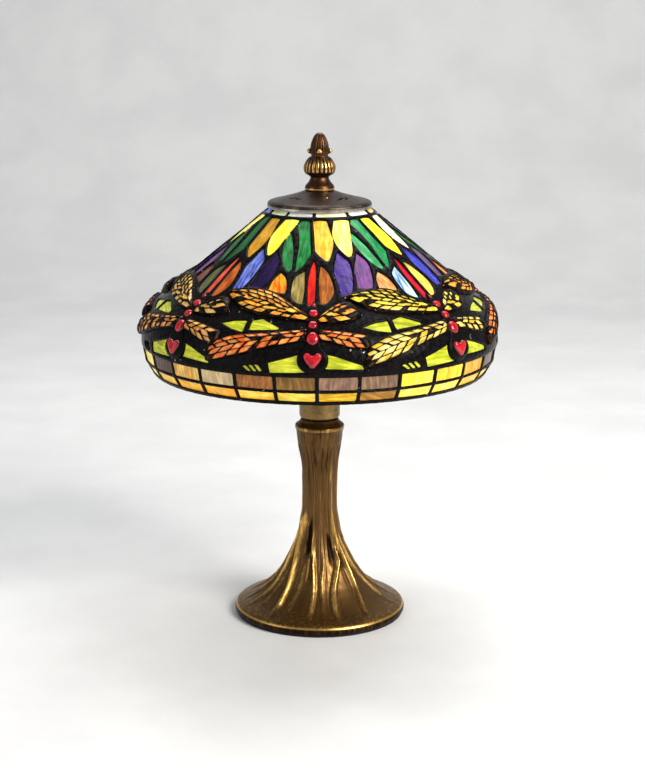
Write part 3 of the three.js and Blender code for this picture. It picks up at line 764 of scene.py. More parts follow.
def all_panes():
    """Every pane of the shade, apart from the wings' windows."""
    dice = random.Random(41)
    panes = []
    for sector in range(SECTORS):
        scheme = SECTOR_SCHEME[sector]
        for name, outline in PETALS.items():
            loop = smooth_between_corners(widened(outline, sector, PETAL_SHIFT))
            streak = PETAL_TURN.get(name, 0) + dice.uniform(-7, 7)
            panes.append(Pane(f"petal_glass_{sector + 1}", loop, PETAL_COLOURS[name][scheme], streak))
        for name, outline in WING_PANES.items():
            loop = widened(outline, sector)
            panes.append(Pane(f"wing_glass_{sector + 1}", loop, PANE_GREEN, 80 + dice.uniform(-10, 10)))
    for k in range(TILES):
        left, right = (BAND_SEAM + step * 360 / TILES for step in (k, k + 1))
        group = f"band_glass_{(k + 2) % TILES // (TILES // SECTORS) + 1}"
        top = tile_outline(left, right, BAND_TOP_AT + 1.6, BAND_MID_AT - 1.1)
        low = tile_outline(left, right, BAND_MID_AT + 1.2, RIM_AT - 2.2)
        colour = (k + 5) % TILES % len(UPPER_TILES)
        panes.append(Pane(group, top, UPPER_TILES[colour], dice.uniform(-12, 12)))
        panes.append(Pane(group, low, LOWER_TILES[colour], 80 + dice.uniform(-25, 25)))
    for k, (left, right) in enumerate(zip(CROWN_EDGES, CROWN_EDGES[1:])):
        outline = [(left + (right - left) * share, along) for share, along in CROWN_TILE]
        panes.append(Pane("crown_glass", outline, CROWN_COLOURS[k], 85, 1.6))
    return panes


LEAD_RISE = 0.95  # height of a solder bead over the glass
LEAD_ROUND = 1.15  # how far in from its edge a solder line is rounded
LEAD_WAVE = 0.12  # how uneven the solder is
UNDER = 0.4  # how far the glass runs in under the solder
RINGS = (0.4, 1.1)  # how far outside each pane the solder's two rings of points lie
PANE_TILT = 0.022  # the most that a pane leans, as a slope


def points_off_edges(panes, tree, reach):
    """Mesh points of the flattened shade: rings round the panes, and a grid that is thinner over the glass."""
    beside = np.vstack([pane.flat + loop_outward(pane.flat) * out for pane in panes for out in RINGS])
    beside = beside[nearest(tree, beside) > 0.33]
    fine = grid_over((-reach, -reach), (reach, reach), 1.9, 3)
    radius = np.hypot(fine[:, 0], fine[:, 1])
    fine = fine[(radius > FLAT_INNER + 0.6) & (radius < reach - 0.6)]
    covered = np.zeros(len(fine), bool)
    for pane in panes:
        low, high = pane.flat.min(0), pane.flat.max(0)
        near = np.all((fine > low) & (fine < high), axis=1)
        covered[near] |= inside(fine[near], pane.flat)
    dice = np.random.default_rng(8)
    fine = fine[~covered | (dice.random(len(fine)) < 0.45)]
    return np.vstack([beside, fine[nearest(tree, fine) > 1.0]])


def add_solder(flat, tris, tree):
    """The network of rounded solder lines, as one solid."""
    polar = unflatten(flat)
    share = 1 - np.minimum(nearest(tree, flat), LEAD_ROUND) / LEAD_ROUND
    wave = np.sin(polar[:, 0] * 1.9 + polar[:, 1] * 0.31) * np.sin(polar[:, 1] * 0.57 - polar[:, 0] * 0.7)
    bead = LEAD_RISE * np.sqrt(np.maximum(1 - share**2, 0)) + LEAD_WAVE * wave * (1 - share)
    depth = np.full(len(flat), -GLASS - 0.5) - 0.4 * (1 - share)
    verts, faces, _ = skin_solid(polar, tris, bead, depth)
    add_piece("solder_lattice", verts, faces, "solder", "shade", ["solder_frame"], "solder", None, 50)


def pane_solid(number, pane, flat, tris, place_in_loop):
    """One pane, a little larger than its outline and leaning a little. place_in_loop says which point of the outline
    each flat point is, and is out of range for the others."""
    spread = flat.copy()
    out = loop_outward(pane.flat)
    for v in np.unique(tris):
        if 0 <= place_in_loop[v] < len(out):
            spread[v] += out[place_in_loop[v]] * UNDER
    points = unflatten(spread)
    # keep a pane that straddles the back in one run of degrees
    middle = unflatten(pane.flat.mean(0)[None])[0]
    points[:, 0] = middle[0] + (points[:, 0] - middle[0] + 180) % 360 - 180
    dice = random.Random(number)
    tilt = (dice.uniform(-PANE_TILT, PANE_TILT), dice.uniform(-PANE_TILT, PANE_TILT))
    across = np.radians(points[:, 0] - middle[0]) * radius_at(points[:, 1])
    down = points[:, 1] - middle[1]
    lift = np.clip(tilt[0] * across + tilt[1] * down, -0.4, 0.4) - 0.1
    verts, faces, used = skin_solid(points, tris, lift, lift - GLASS)
    c, s = math.cos(pane.streak), math.sin(pane.streak)
    u, v = across[used] * c - down[used] * s, across[used] * s + down[used] * c
    # each pane takes its streaks from a different part of the noise
    flow = np.stack([u + 37.0 * (number % 11), v + 53.0 * (number % 7), np.full(len(used), 19.0 * number)], axis=1)
    return verts, faces, np.vstack([flow, flow]), pane.colours


def add_glass_and_solder():
    """The whole shade is triangulated at once in the flat, so that glass and solder meet without gaps."""
    panes = all_panes()
    loops = [pane.flat for pane in panes]
    tree = tree_of(np.vstack(loops))
    reach = FLAT_INNER + RIM_AT
    turn = np.linspace(0, 2 * math.pi, 420, endpoint=False)
    rims = [np.stack([r * np.sin(turn), -r * np.cos(turn)], axis=1) for r in (FLAT_INNER, reach)]
    flat, tris, held, origin = triangulate([*rims, *loops], points_off_edges(panes, tree, reach))

    hole, outside, first_pane = 0, 1, len(rims)
    owner = np.array([max((h for h in hold), default=-1) for hold in held])
    in_hole = np.array([hole in hold for hold in held])
    add_solder(flat, tris[(owner < first_pane) & ~in_hole & (owner >= outside)], tree)

    first_point = sum(len(r) for r in rims)
    groups = {}
    for number, pane in enumerate(panes):
        mine = tris[owner == number + first_pane]
        if len(mine):
            part = pane_solid(number, pane, flat, mine, origin - first_point)
            groups.setdefault(pane.group, []).append(part)
        first_point += len(pane.flat)
    for group, parts in sorted(groups.items()):
        slot = group if group == "crown_glass" else group.rsplit("_", 1)[0]
        add_glass_piece(group.replace("glass", "panes"), parts, [group], slot)


def add_glass_piece(name, parts, replaces, slot):
    """Glass solids joined into one piece, each keeping its own colours and streaks."""
    verts, faces = joined([part[:2] for part in parts])
    first, second = (np.vstack([np.tile(colours[k], (len(points), 1)) for points, _, _, colours in parts])
                     for k in (0, 1))
    attributes = {"flow": np.vstack([flow for _, _, flow, _ in parts]), "glass_a": first, "glass_b": second}
    add_piece(name, verts, faces, "art_glass", "shade", replaces, slot, attributes, 30)


# ---------------------------------------------------------------- dragonflies

# Each wing as its leading and trailing edge, from the body out to the tip, and its rows and columns of windows.
WINGS = [
    ([(-3.4, 93), (-9.5, 84.5), (-15.5, 77), (-21, 72.6), (-29, 71.2), (-37, 74.5)],
     [(-3.4, 98.5), (-9.5, 97.4), (-17, 95.6), (-25, 93), (-32.5, 87.5), (-40, 78)], 6, 9),
    ([(-4.2, 103.6), (-11, 105.5), (-19, 107.8), (-28, 110.6), (-35, 117)],
     [(-4.2, 112.8), (-10.5, 115.2), (-18.5, 119.2), (-27, 125.2), (-36.3, 130)], 5, 9),
    ([(-0.8, 94.5), (3, 87.5), (7, 82.5), (12, 82)],
     [(-0.8, 99.4), (4, 99.6), (9.5, 99), (15.2, 93.5)], 5, 5),
    ([(-0.6, 104), (4, 104.8), (9.5, 106.4), (15.5, 109)],
     [(-0.6, 111.8), (4, 114.2), (9.5, 117.8), (15.2, 119.2)], 5, 5),
]
WING_R = 105  # the shade's radius about where the wings are
WING_BASE = 0.9  # height of a wing's edge over the shade
WING_BULGE = 3.9  # how much higher its middle is
WING_ROUND = 7.0  # how far in from its edge it is rounded
PLATE = 0.7  # thickness of the filigree
WINDOW_GLASS_DROP = 0.75  # how far its glass lies under its face
WINDOW_GLASS = 0.9  # thickness of that glass
WINDOW_PITCH = 3.0  # millimetres between rows of windows
VEIN = 0.36  # the least width of a vein
VEIN_ROUND = 0.8  # how far in from a window a vein is rounded


def wing_shape(leading, trailing):
    """A function from (s along the wing, w across it) to [degrees, along], and the wing's outline."""
    edges = [rounded(leading, 8), rounded(trailing, 8)]
    at = [np.linspace(0, 1, len(edge)) for edge in edges]

    def place(s, w):
        front, back = (np.array([np.interp(s, at[k], edges[k][:, i]) for i in (0, 1)]) for k in (0, 1))
        return tuple(front * (1 - w) + back * w)

    tip = rounded([edges[0][-1], (np.array(edges[0][-1]) + edges[1][-1]) / 2
                   + 0.12 * (edges[0][-1] - edges[0][-6]), edges[1][-1]], 4)
    outline = np.vstack([edges[0][:-1], tip, edges[1][::-1][1:]])
    return place, outline


def gap_to(windows, flat):
    """The least distance between the corners of a flat outline and those of some others."""
    return np.linalg.norm(np.vstack(windows)[:, None] - flat[None], axis=2).min()


def wing_windows(place, rows, columns, seed):
    """Leaning four-sided windows between the veins, in staggered rows that meet at the wing's middle."""
    dice = random.Random(seed)
    windows = []
    for column in range(columns + 1):
        s = (column + 0.35) / columns * 0.95 + 0.03
        width = math.dist(*(wrap([a], [b], 0)[0] for a, b in (place(s, 0), place(s, 1))))
        count = int(min(rows, max(2, round(width * 0.88 / WINDOW_PITCH))))
        for row in range(count):
            w = 0.07 + 0.86 * (row + 0.5) / count + dice.uniform(-0.008, 0.008)
            middle_s = s + (0.5 * (row % 2) - 0.25) / columns * 0.95 + dice.uniform(-0.008, 0.008)
            half_s = 0.45 / columns * dice.uniform(0.88, 1.0)
            half_w = 0.86 / count * 0.47 * dice.uniform(0.86, 1.0)
            if middle_s - half_s < 0.03 or middle_s + half_s > 0.99:
                continue
            # every cell is a little different, with its corners cut off
            lean = 0.5 if w > 0.5 else -0.5
            corners = [(c + dice.uniform(-0.16, 0.1), d + dice.uniform(-0.12, 0.12))
                       for c, d in ((-1, -1), (1, -1), (1, 1), (-1, 1))]
            loop = []
            for (c0, d0), (c1, d1) in zip(corners, corners[1:] + corners[:1]):
                for t in (0.12, 0.37, 0.63, 0.88):
                    c, d = c0 + (c1 - c0) * t, d0 + (d1 - d0) * t
                    loop.append(place(middle_s + half_s * (c + lean * d), w + half_w * d))
            flat = flatten(np.array(loop))
            if windows:
                if gap_to(windows, flat) < VEIN * 0.8:
                    flat = flat.mean(0) + (flat - flat.mean(0)) * 0.8
                    if gap_to(windows, flat) < VEIN * 0.6:
                        continue
            windows.append(flat)
    return windows


def bulge(distance):
    """Height of a wing over the shade, at a distance in from the wing's edge."""
    share = 1 - np.minimum(distance / WING_ROUND, 1)
    return WING_BASE + WING_BULGE * np.sqrt(np.maximum(1 - share**2.4, 0))


def build_wing(leading, trailing, rows, columns, seed):
    """The filigree plate and the glass under it, as [degrees, along] points with two heights."""
    place, outline = wing_shape(leading, trailing)
    edge = resample(outline, 1.0)
    edge_flat = flatten(edge)
    edge_tree = tree_of(edge_flat)
    loops = [w for w in wing_windows(place, rows, columns, seed)
             if nearest(edge_tree, w).min() > 0.42 and inside(w, edge_flat).all()]
    window_points = np.vstack(loops)
    window_tree = tree_of(window_points)
    grid = grid_over(edge_flat.min(0), edge_flat.max(0), 1.1, seed + 5)
    grid = grid[inside(grid, edge_flat)]
    grid = grid[(nearest(edge_tree, grid) > 0.5) & (nearest(window_tree, grid) > 0.35)]
    flat, tris, held, _ = triangulate([edge_flat, *loops], grid)
    plate = np.array([0 in h and len(h) == 1 for h in held])
    from_edge, from_window = nearest(edge_tree, flat), nearest(window_tree, flat)
    rim = np.sqrt(np.maximum(1 - (1 - np.minimum(from_edge / 1.2, 1))**2, 0))
    ridge = np.minimum(from_window / VEIN_ROUND, 1)
    vein = np.sqrt(np.maximum(1 - (1 - ridge)**2, 0))
    top = bulge(from_edge) + 0.35 * vein * rim - 0.3 * (1 - rim)
    polar = unflatten(flat)

    coarse = grid_over(edge_flat.min(0), edge_flat.max(0), 1.8, seed + 9)
    coarse = coarse[inside(coarse, edge_flat)]
    coarse = coarse[nearest(edge_tree, coarse) > 0.9]
    inset = edge_flat - loop_outward(edge_flat) * 0.5
    glass_flat, glass_tris, glass_held, _ = triangulate([inset], coarse)
    keep = np.array([0 in h for h in glass_held])
    glass_top = bulge(nearest(edge_tree, glass_flat)) - WINDOW_GLASS_DROP
    glass_polar = unflatten(glass_flat)
    filigree = (polar, tris[plate], top, top - PLATE, ridge * rim)
    return filigree, (glass_polar, glass_tris[keep], glass_top, glass_top - WINDOW_GLASS)


def dome(outline, low, high, round_at, spacing=0.9, smooth=True, power=2.0):
    """A domed solid over a closed outline: points, triangles, outer and inner heights and a ridge value."""
    loop = rounded(outline, 6, closed=True) if smooth else np.asarray(outline, float)
    edge = resample(loop, spacing)
    flat_edge = flatten(edge)
    tree = tree_of(flat_edge)
    grid = grid_over(flat_edge.min(0), flat_edge.max(0), spacing, 2)
    grid = grid[inside(grid, flat_edge)]
    grid = grid[nearest(tree, grid) > spacing * 0.45]
    flat, tris, held, _ = triangulate([flat_edge], grid)
    keep = np.array([0 in h for h in held])
    share = 1 - np.minimum(nearest(tree, flat) / round_at, 1)
    rise = np.sqrt(np.maximum(1 - share**power, 0))
    return unflatten(flat), tris[keep], low + (high - low) * rise, np.full(len(flat), -0.8), rise


def oval(centre, half, steps=12, squareness=1.0):
    """An oval [degrees, along] outline. A squareness below 1 fills its corners."""
    points = []
    for k in range(steps):
        angle = 2 * math.pi * k / steps
        c, s = math.cos(angle), math.sin(angle)
        points.append((centre[0] + half[0] * math.copysign(abs(c) ** squareness, c),
                       centre[1] + half[1] * math.copysign(abs(s) ** squareness, s)))
    return points


HEART = [(-2.1, 121.4), (-0.8, 119.9), (0.5, 120.7), (0.6, 123.6), (-0.6, 127.4), (-2.1, 129.8), (-3.6, 127.4),
         (-4.8, 123.6), (-4.7, 120.7), (-3.4, 119.9)]
BODY = [(-2.1, 80), (-0.9, 84), (-0.1, 90), (-0.3, 98), (0.1, 106), (0.2, 114), (1.5, 118), (2.6, 123), (2.0, 129),
        (-0.6, 132.8), (-3.6, 132.8), (-6.2, 129), (-6.8, 123), (-5.7, 118), (-4.6, 114), (-4.5, 106), (-4.1, 98),
        (-4.2, 90), (-3.3, 84)]


def solids_in(shapes, centre):
    """Dome or plate shapes turned to a sector and joined into one mesh with its ridge values."""
    meshes, ridge = [], []
    for polar, tris, top, low, value in shapes:
        verts, faces, used = skin_solid(polar + np.array([centre, 0]), tris, top, low)
        meshes.append((verts, faces))
        ridge += [*value[used], *(value[used] * 0)]
    return *joined(meshes), np.array(ridge)


def add_dragonflies():
    wings = [build_wing(*wing, seed=11 * k) for k, wing in enumerate(WINGS)]
    body = [dome(BODY, 0.7, 2.0, 1.6, 1.1), dome(oval((-2.1, 124.8), (4.7, 7.2)), 1.2, 2.4, 2.0, 1.0)]
    body = [(*shape[:4], shape[4] * 0) for shape in body]  # black all over, unlike the wings
    beads = [
        dome(oval((-2.1, 84.3), (0.9, 1.7)), 1.6, 2.6, 1.6, 0.6),
        dome(oval((-2.2, 91.4), (1.75, 3.0), 12, 0.8), 1.6, 3.6, 2.4, 0.7),
        dome(oval((-2.2, 101.0), (1.55, 3.1), 12, 0.8), 1.6, 3.7, 2.6, 0.7),
        dome(oval((-2.2, 110.8), (2.0, 4.6), 12, 1.1), 1.6, 3.9, 3.0, 0.8),
        dome(HEART, 2.0, 4.3, 3.4, 0.8),
    ]
    plates = [plate for plate, _ in wings] + body
    for sector, centre in enumerate(SECTOR_AT):
        number, scheme = sector + 1, SECTOR_SCHEME[sector]
        node = f"dragonfly_{number}"
        for name, shapes, material, sharp in (("filigree_wings", plates, "filigree", 55),
                                              ("body_beads", beads, "bead_glass", 60)):
            verts, faces, ridge = solids_in(shapes, centre)
            add_piece(f"{name}_{number}", verts, faces, material, "shade", [node], "filigree", {"ridge": ridge},
                      sharp)
        parts = []
        for k, (_, (polar, tris, top, low)) in enumerate(wings):
            made, made_faces, used = skin_solid(polar + np.array([centre, 0]), tris, top, low)
            across = np.radians(polar[used, 0]) * WING_R
            flow = np.stack([0.5 * across, 4.0 * polar[used, 1], np.full(len(used), 7.0 * k + 90 * sector)], axis=1)
            colours = WING_GLOW[scheme][k % 2]
            parts.append((made, made_faces, np.vstack([flow, flow]), [srgb(*c) for c in colours]))
        add_glass_piece(f"wing_lights_{number}", parts, [node], "wing_glass")


def add_rim_and_collar():
    """The half-round channel under the band, and the collar round the crown."""
    angles = np.linspace(math.pi / 2, -math.pi / 2, 9)
    along = [RIM_AT - 2.3, *[RIM_AT + math.cos(a) - 1.4 for a in angles], RIM_AT - 2.3]
    height = [0.9, *[1.4 * math.sin(a) - 0.2 for a in angles], -GLASS - 0.5]
    line = wrap(np.zeros(len(along)), np.array(along), np.array(height))
    profile = [(-y, z) for _, y, z in line]
    add_turned("rim_channel", profile, "solder", "shade", ["shade_rim"], "solder", 168)

    low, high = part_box("crown_came")
    outer, bottom, top = high[0] / MM, low[2] / MM, high[2] / MM
    collar = [(outer - 1.6, bottom), (outer - 0.3, bottom), (outer, bottom + 0.5), (outer - 0.2, bottom + 1.0),
              (outer, bottom + 1.5), (outer - 0.2, top - 0.3), (outer - 0.6, top), (outer - 1.6, top)]
    add_turned("crown_collar", collar, "cap", "shade", ["crown_came"], "dark_bronze", 120)


# ---------------------------------------------------------------- the trunk

# Radius and height down the outside of the trunk and foot, and up the inside.
TRUNK = [(15.95, 128.05), (15.4, 125.2), (14.2, 119.5), (12.9, 113.2), (12.1, 104.8), (11.7, 90.6), (11.9, 76),
         (14, 61), (16.7, 52), (20.2, 44), (24, 36.6), (28.4, 29.6), (32.6, 24.1), (37, 19.9), (41.5, 16.4),
         (46, 13.4), (50.5, 11), (55.5, 9.1), (59.4, 7.7), (60.9, 6.6), (61.6, 5.2), (62.2, 3.6), (62.1, 2.4),
         (61.2, 1.6)]
CAVITY = [(56, 1.6), (56, 4.2), (37.4, 9.3), (29.5, 18), (20.1, 33), (13, 50), (8.5, 72), (8.5, 108), (5.2, 108),
          (5.2, 127.8)]

# Each root or fold: [height, degrees] points down it, how far it stands out, and its half width in millimetres.
ROOTS = [
    ([(118, 38), (100, 40), (76, 42), (62, 46), (52, 47), (42, 37), (32, 24), (22, 16), (11, 14)], 3.0, 1.5),
    ([(66, 48), (54, 51), (44, 54), (28, 54), (18, 47), (10, 38)], 2.6, 1.4),
    ([(60, 64), (46, 68), (35, 73), (25, 80), (11, 76)], 2.2, 1.5),
    ([(118, 80), (80, 88), (50, 92), (30, 98), (12, 96)], 1.7, 2.0),
    ([(66, -17), (50, -18), (38, -10), (24, -7), (14, -8), (10, -9)], 2.0, 1.2),
    ([(74, -52), (66, -56), (59, -59), (48, -55), (36, -47), (22, -43), (10, -39)], 3.4, 1.6),
    ([(48, -24), (36, -30), (26, -27), (17, -29)], 1.0, 1.2),
    ([(42, 8), (30, 2), (22, 3)], 0.9, 1.1),
    ([(70, -84), (50, -80), (34, -76), (24, -70), (12, -70)], 2.2, 1.5),
    ([(36, -66), (26, -62), (15, -58)], 1.2, 1.2),
    ([(110, -104), (74, -104), (46, -96), (26, -88), (12, -86)], 2.0, 1.7),
    ([(62, -116), (44, -112), (28, -108), (12, -106)], 1.8, 1.6),
    ([(112, 118), (84, 114), (58, 116), (34, 118), (12, 120)], 2.0, 1.8),
    ([(60, 134), (44, 134), (28, 138), (12, 140)], 1.9, 1.6),
    ([(108, 154), (82, 158), (54, 154), (32, 160), (12, 164)], 2.2, 1.8),
    ([(66, 174), (50, 178), (34, 182), (12, 184)], 2.0, 1.6),
    ([(112, -160), (90, -154), (60, -158), (38, -154), (12, -152)], 2.0, 1.8),
    ([(84, -132), (60, -138), (42, -134), (26, -130), (12, -130)], 2.2, 1.7),
]
# Hollows and knots: height, degrees, half height and half width in millimetres, and how deep (or how high).
HOLLOWS = [(58, -30, 13, 1.9, -2.8), (51, 26, 10, 1.7, -2.4), (44, 43, 7, 1.3, -2.2), (38, -17, 12, 1.6, -0.9),
           (48, 136, 12, 2.2, -2.2), (52, -148, 12, 2.2, -2.2), (60, -118, 12, 1.9, -1.8),
           (70, -52, 4.2, 2.6, 2.6), (86, 174, 3.8, 2.8, 1.8), (66, 128, 3.8, 2.8, 1.6)]


# Waves of the bark: how many go round, how deep they are, how much they lean and where they start.
BARK = [(13, 0.12, 0.012, 0.4), (31, 0.12, -0.02, 1.9), (47, 0.13, 0.015, 3.1), (71, 0.1, -0.02, 5.2)]
TRUNK_STEPS = 420
FOOT_EDGE = (60.3, 61.5)  # radii of the bright line round the foot: rubbed wear, with a painted highlight along the edge
FOOT_SIDE = 5.3  # height of the dark side of the foot


def trunk_relief(turn, radius, height):
    """How far the bark stands out, in millimetres, over a ring of azimuths."""
    degrees = np.degrees(turn)
    roots = np.zeros_like(turn)
    grooves = np.zeros_like(turn)
    for points, rise, width in ROOTS:
        at = np.array(points, float)[::-1]
        if height > at[-1, 0] + 8:
            continue
        middle = np.interp(height + np.linspace(-6, 6, 7), at[:, 0], at[:, 1]).mean()
        away = np.radians((degrees - middle + 180) % 360 - 180) * radius
        fade = min(1, max(0, (at[-1, 0] + 8 - height) / 18))
        spread = width * (0.75 + 0.2 * min(radius, 40) / 20)
        # a steep-sided ridge with a shallow groove either side of it
        groove = np.exp(-((np.abs(away) - 1.9 * spread) / (0.7 * spread)) ** 2)
        slender = np.interp(height, [48, 78], [1, 0.5])  # the roots sink into the trunk as they rise
        roots = np.maximum(roots, rise * fade * slender * np.exp(-np.abs(away / spread) ** 1.6))
        grooves = np.maximum(grooves, rise * fade * slender * 0.2 * groove)
    total = roots - grooves * np.exp(-3 * roots)  # no groove where another root runs
    for z, where, half_z, half_w, rise in HOLLOWS:
        away = np.radians((degrees - where + 180) % 360 - 180) * radius
        narrow = half_w * (1 + 0.4 * min(max((z - height) / half_z, -1), 1))
        power = 4 if rise < 0 else 2
        total += rise * np.exp(-np.abs(away / narrow) ** power - np.abs((height - z) / half_z) ** power)
    fine = min(1, max(0.15, (height - 22) / 40))
    for count, size, lean, phase in BARK:
        wander = 0.5 * np.sin(2 * turn + height * 0.045 + phase)
        total += fine * size * np.sin(count * turn + lean * height + wander + phase)
    return total



def add_trunk():
    """The cast trunk and foot: a turned shape with its roots, slits, knots and bark pushed out of it or into it."""
    outer = []
    for (r0, z0), (r1, z1) in zip(TRUNK, TRUNK[1:]):
        steps = max(1, int(math.hypot(r1 - r0, z1 - z0) / 0.75))
        outer += [(r0 + (r1 - r0) * k / steps, z0 + (z1 - z0) * k / steps) for k in range(steps)]
    outer.append(TRUNK[-1])
    rough = np.array(outer)
    kernel = np.hanning(9) / np.hanning(9).sum()
    smooth = np.stack([np.convolve(np.pad(rough[:, k], 4, "edge"), kernel, "valid") for k in (0, 1)], axis=1)
    smooth[0], smooth[-1] = rough[0], rough[-1]
    profile = np.vstack([smooth, CAVITY])
    count = len(smooth)

    def bark(turn, radius, height, row):
        if row >= count:
            return radius, height, np.full(len(turn), 0.2)
        r, z = profile[row]
        fade = float(np.clip((z - 8.4) / 7, 0, 1)) * float(np.clip((127.6 - z) / 4, 0, 1))
        relief = trunk_relief(turn, r, z) * fade
        plain = 1 - fade
        relief = np.clip(relief, -min(2.6, max(r - 9.6, 1.4) * 0.5), 4.2)
        # on the flare the relief also lifts the surface, because that is nearly flat
        lean = float(np.clip((r - 26) / 22, 0, 1))
        top_darkening = 0.14 * float(np.clip((z - 84) / 30, 0, 1))  # the top of the trunk is darker
        ridge = np.clip(0.5 - top_darkening + relief * 0.2, 0, 1) * fade + plain * (0.6 if z < 40 else 0.4)
        # the foot's edge: rubbed wear, with a painted highlight along it
        if FOOT_EDGE[0] < r < FOOT_EDGE[1] and z > 5:
            ridge = np.maximum(ridge, 0.9)
        if z < FOOT_SIDE:
            ridge = ridge * 0.3
        return radius + relief * (1 - 0.7 * lean), height + relief * 0.75 * lean, ridge

    add_turned("trunk", profile, "trunk", "base", ["trunk_base"], "antique_bronze", TRUNK_STEPS, bark, 60)


# ---------------------------------------------------------------- neck, finial and cap


def add_neck():
    """The turned neck ring with its shoulder, and the socket cup over it."""
    neck = [(5.1, 128.1), (15.95, 128.1), *rounded([(16.0, 128.2), (16.3, 130.6), (16.5, 132.6), (16.6, 134.2),
            (16.9, 135.6), (17.4, 136.9), (17.7, 138.2), (17.6, 139.4), (16.9, 140.3), (15.6, 141.2), (14.4, 142.4),
            (13.8, 143.5), (13.5, 144.3)], 5), (5.1, 144.3)]

    def tarnish_and_sheen(turn, radius, height, row):
        # a painted highlight: the band round the shoulder is made lighter than the rest of the neck
        on_shoulder = 137.4 < neck[row][1] < 139.8
        return radius, height, np.full(len(turn), 0.68 if on_shoulder else 0.38)

    add_turned("neck_beads", neck, "trunk", "base", ["neck_ring"], "antique_bronze", 128, tarnish_and_sheen)
    cup = [(5.1, 144.6), *rounded([(12.0, 144.6), (13.4, 145.1), (14.3, 146.3), (14.6, 147.8)], 5), (14.6, 156.6),
           (14.2, 157.0), (14.6, 157.4), (14.5, 158.0), (5.1, 158.0)]
    add_turned("cup", cup, "antique_brass", "base", ["socket_cup"], "antique_brass", 128)


BULB_RIBS = 22
BULB_LOW, BULB_HIGH = 317.3, 331.4  # the fluted part of the finial
KNOB_Z, KNOB_RISE = 335.3, 2.4  # the four knobs on the bud
BUD_RIBS = 20
FOOT_LINE = 309.8  # top of the rubbed edge of the bell


def add_finial():
    """The finial: a bell foot, a fluted bulb and an acorn bud with four knobs."""
    bell = rounded([(10.2, 308.3), (10.45, 309.2), (10.3, 310.3), (9.7, 311.7), (8.2, 313.5), (7.0, 315.3),
                    (6.35, 317.1)], 6)
    bulb = rounded([(6.4, 317.5), (7.3, 317.9), (7.8, 318.5), (9.6, 319.4), (10.8, 321.0), (11.2, 323.1),
                    (11.0, 325.3), (10.1, 327.5), (8.5, 329.8), (7.0, 331.2)], 6)
    bud = rounded([(6.1, 331.5), (5.9, 332.1), (6.2, 333.5), (6.5, 335.3), (6.55, 337.3), (6.3, 339.4), (5.7, 341.6),
                   (4.9, 343.7), (3.8, 345.8), (2.5, 347.2), (1.2, 347.9)], 6)
    inside_bell = [(0, 319), (4.7, 319), (4.7, 308.2), (9.6, 308.2)]
    profile = [*inside_bell, *bell, *bulb, *bud, (0, 348.0)]

    def carve(turn, radius, height, row):
        z = profile[row][1]
        value = np.full(len(turn), 0.55)
        if row < len(inside_bell):
            return radius, height, value
        if BULB_LOW < z < BULB_HIGH:
            arch = math.sin(math.pi * min(max((z - 318.2) / 13, 0), 1)) ** 0.6
            flute = np.abs(np.sin(BULB_RIBS / 2 * turn))
            groove = np.exp(-(flute / 0.5) ** 2)
            # the ribs end below in a row of points
            points = 320.1 + 1.6 * np.abs(np.cos(BULB_RIBS / 2 * turn))
            cut = 1 / (1 + np.exp(-(z - points) / 0.25))
            value = np.clip(0.3 + 0.62 * arch * cut * (1 - groove) - 0.3 * groove * cut, 0, 1)
            return radius - 0.75 * arch * groove * cut, height, value
        if z >= BULB_HIGH:
            away = (np.degrees(turn) + 45) % 90 - 45
            knob = np.sqrt(np.clip(1 - (np.radians(away) * 6.5 / 1.9) ** 2 - ((z - KNOB_Z) / 2.0) ** 2, 0, 1))
            flute = np.abs(np.sin(BUD_RIBS / 2 * turn))
            groove = np.exp(-(flute / 0.4) ** 2) * min(max((z - 332.2) / 2, 0), 1) * min(max((347.4 - z) / 1.5, 0), 1)
            groove = groove * (1 - knob)
            value = np.clip(0.42 + 0.55 * knob - 0.35 * groove + 0.12 * (1 - groove), 0, 1)
            return radius + KNOB_RISE * knob - 0.4 * groove, height, value
        value[:] = 0.92 if z < FOOT_LINE else 0.42
        return radius, height, value

    add_turned("finial_casting", profile, "finial", "finial", ["finial"], "antique_bronze", 264, carve, 60)


CAP_HOLE, SHEET_R = 3.6, 33.0  # radii of the cap's hole and of its sheet
CAP_OUTER = 36.6  # radius of its rim
SLIT_LONG, SLIT_WIDE = 1.9, 0.6
SLIT_LEAN = 20  # degrees
RIVET_AT, RIVET_R = math.radians(14), 20.0


def ring(radius, count):
    """Points round a flat circle."""
    turn = np.linspace(0, 2 * math.pi, count, endpoint=False)
    return np.stack([radius * np.sin(turn), -radius * np.cos(turn)], axis=1)


def vent_slits():
    """Flat outlines of the cap's vent slits: four groups of three."""
    slits = []
    for group in range(4):
        for k in (-1, 0, 1):
            a = math.radians(90 * group + 43 + 8.5 * k)
            radius = 22 + 1.6 * abs(k)
            middle = np.array([radius * math.sin(a), -radius * math.cos(a)])
            b = a + math.radians(90 + SLIT_LEAN)
            way, side = np.array([math.sin(b), -math.cos(b)]), np.array([math.cos(b), math.sin(b)])
            slits.append(np.array([middle + way * SLIT_LONG * math.cos(t) + side * SLIT_WIDE * math.sin(t)
                                   for t in np.linspace(0, 2 * math.pi, 20, endpoint=False)]))
    return slits


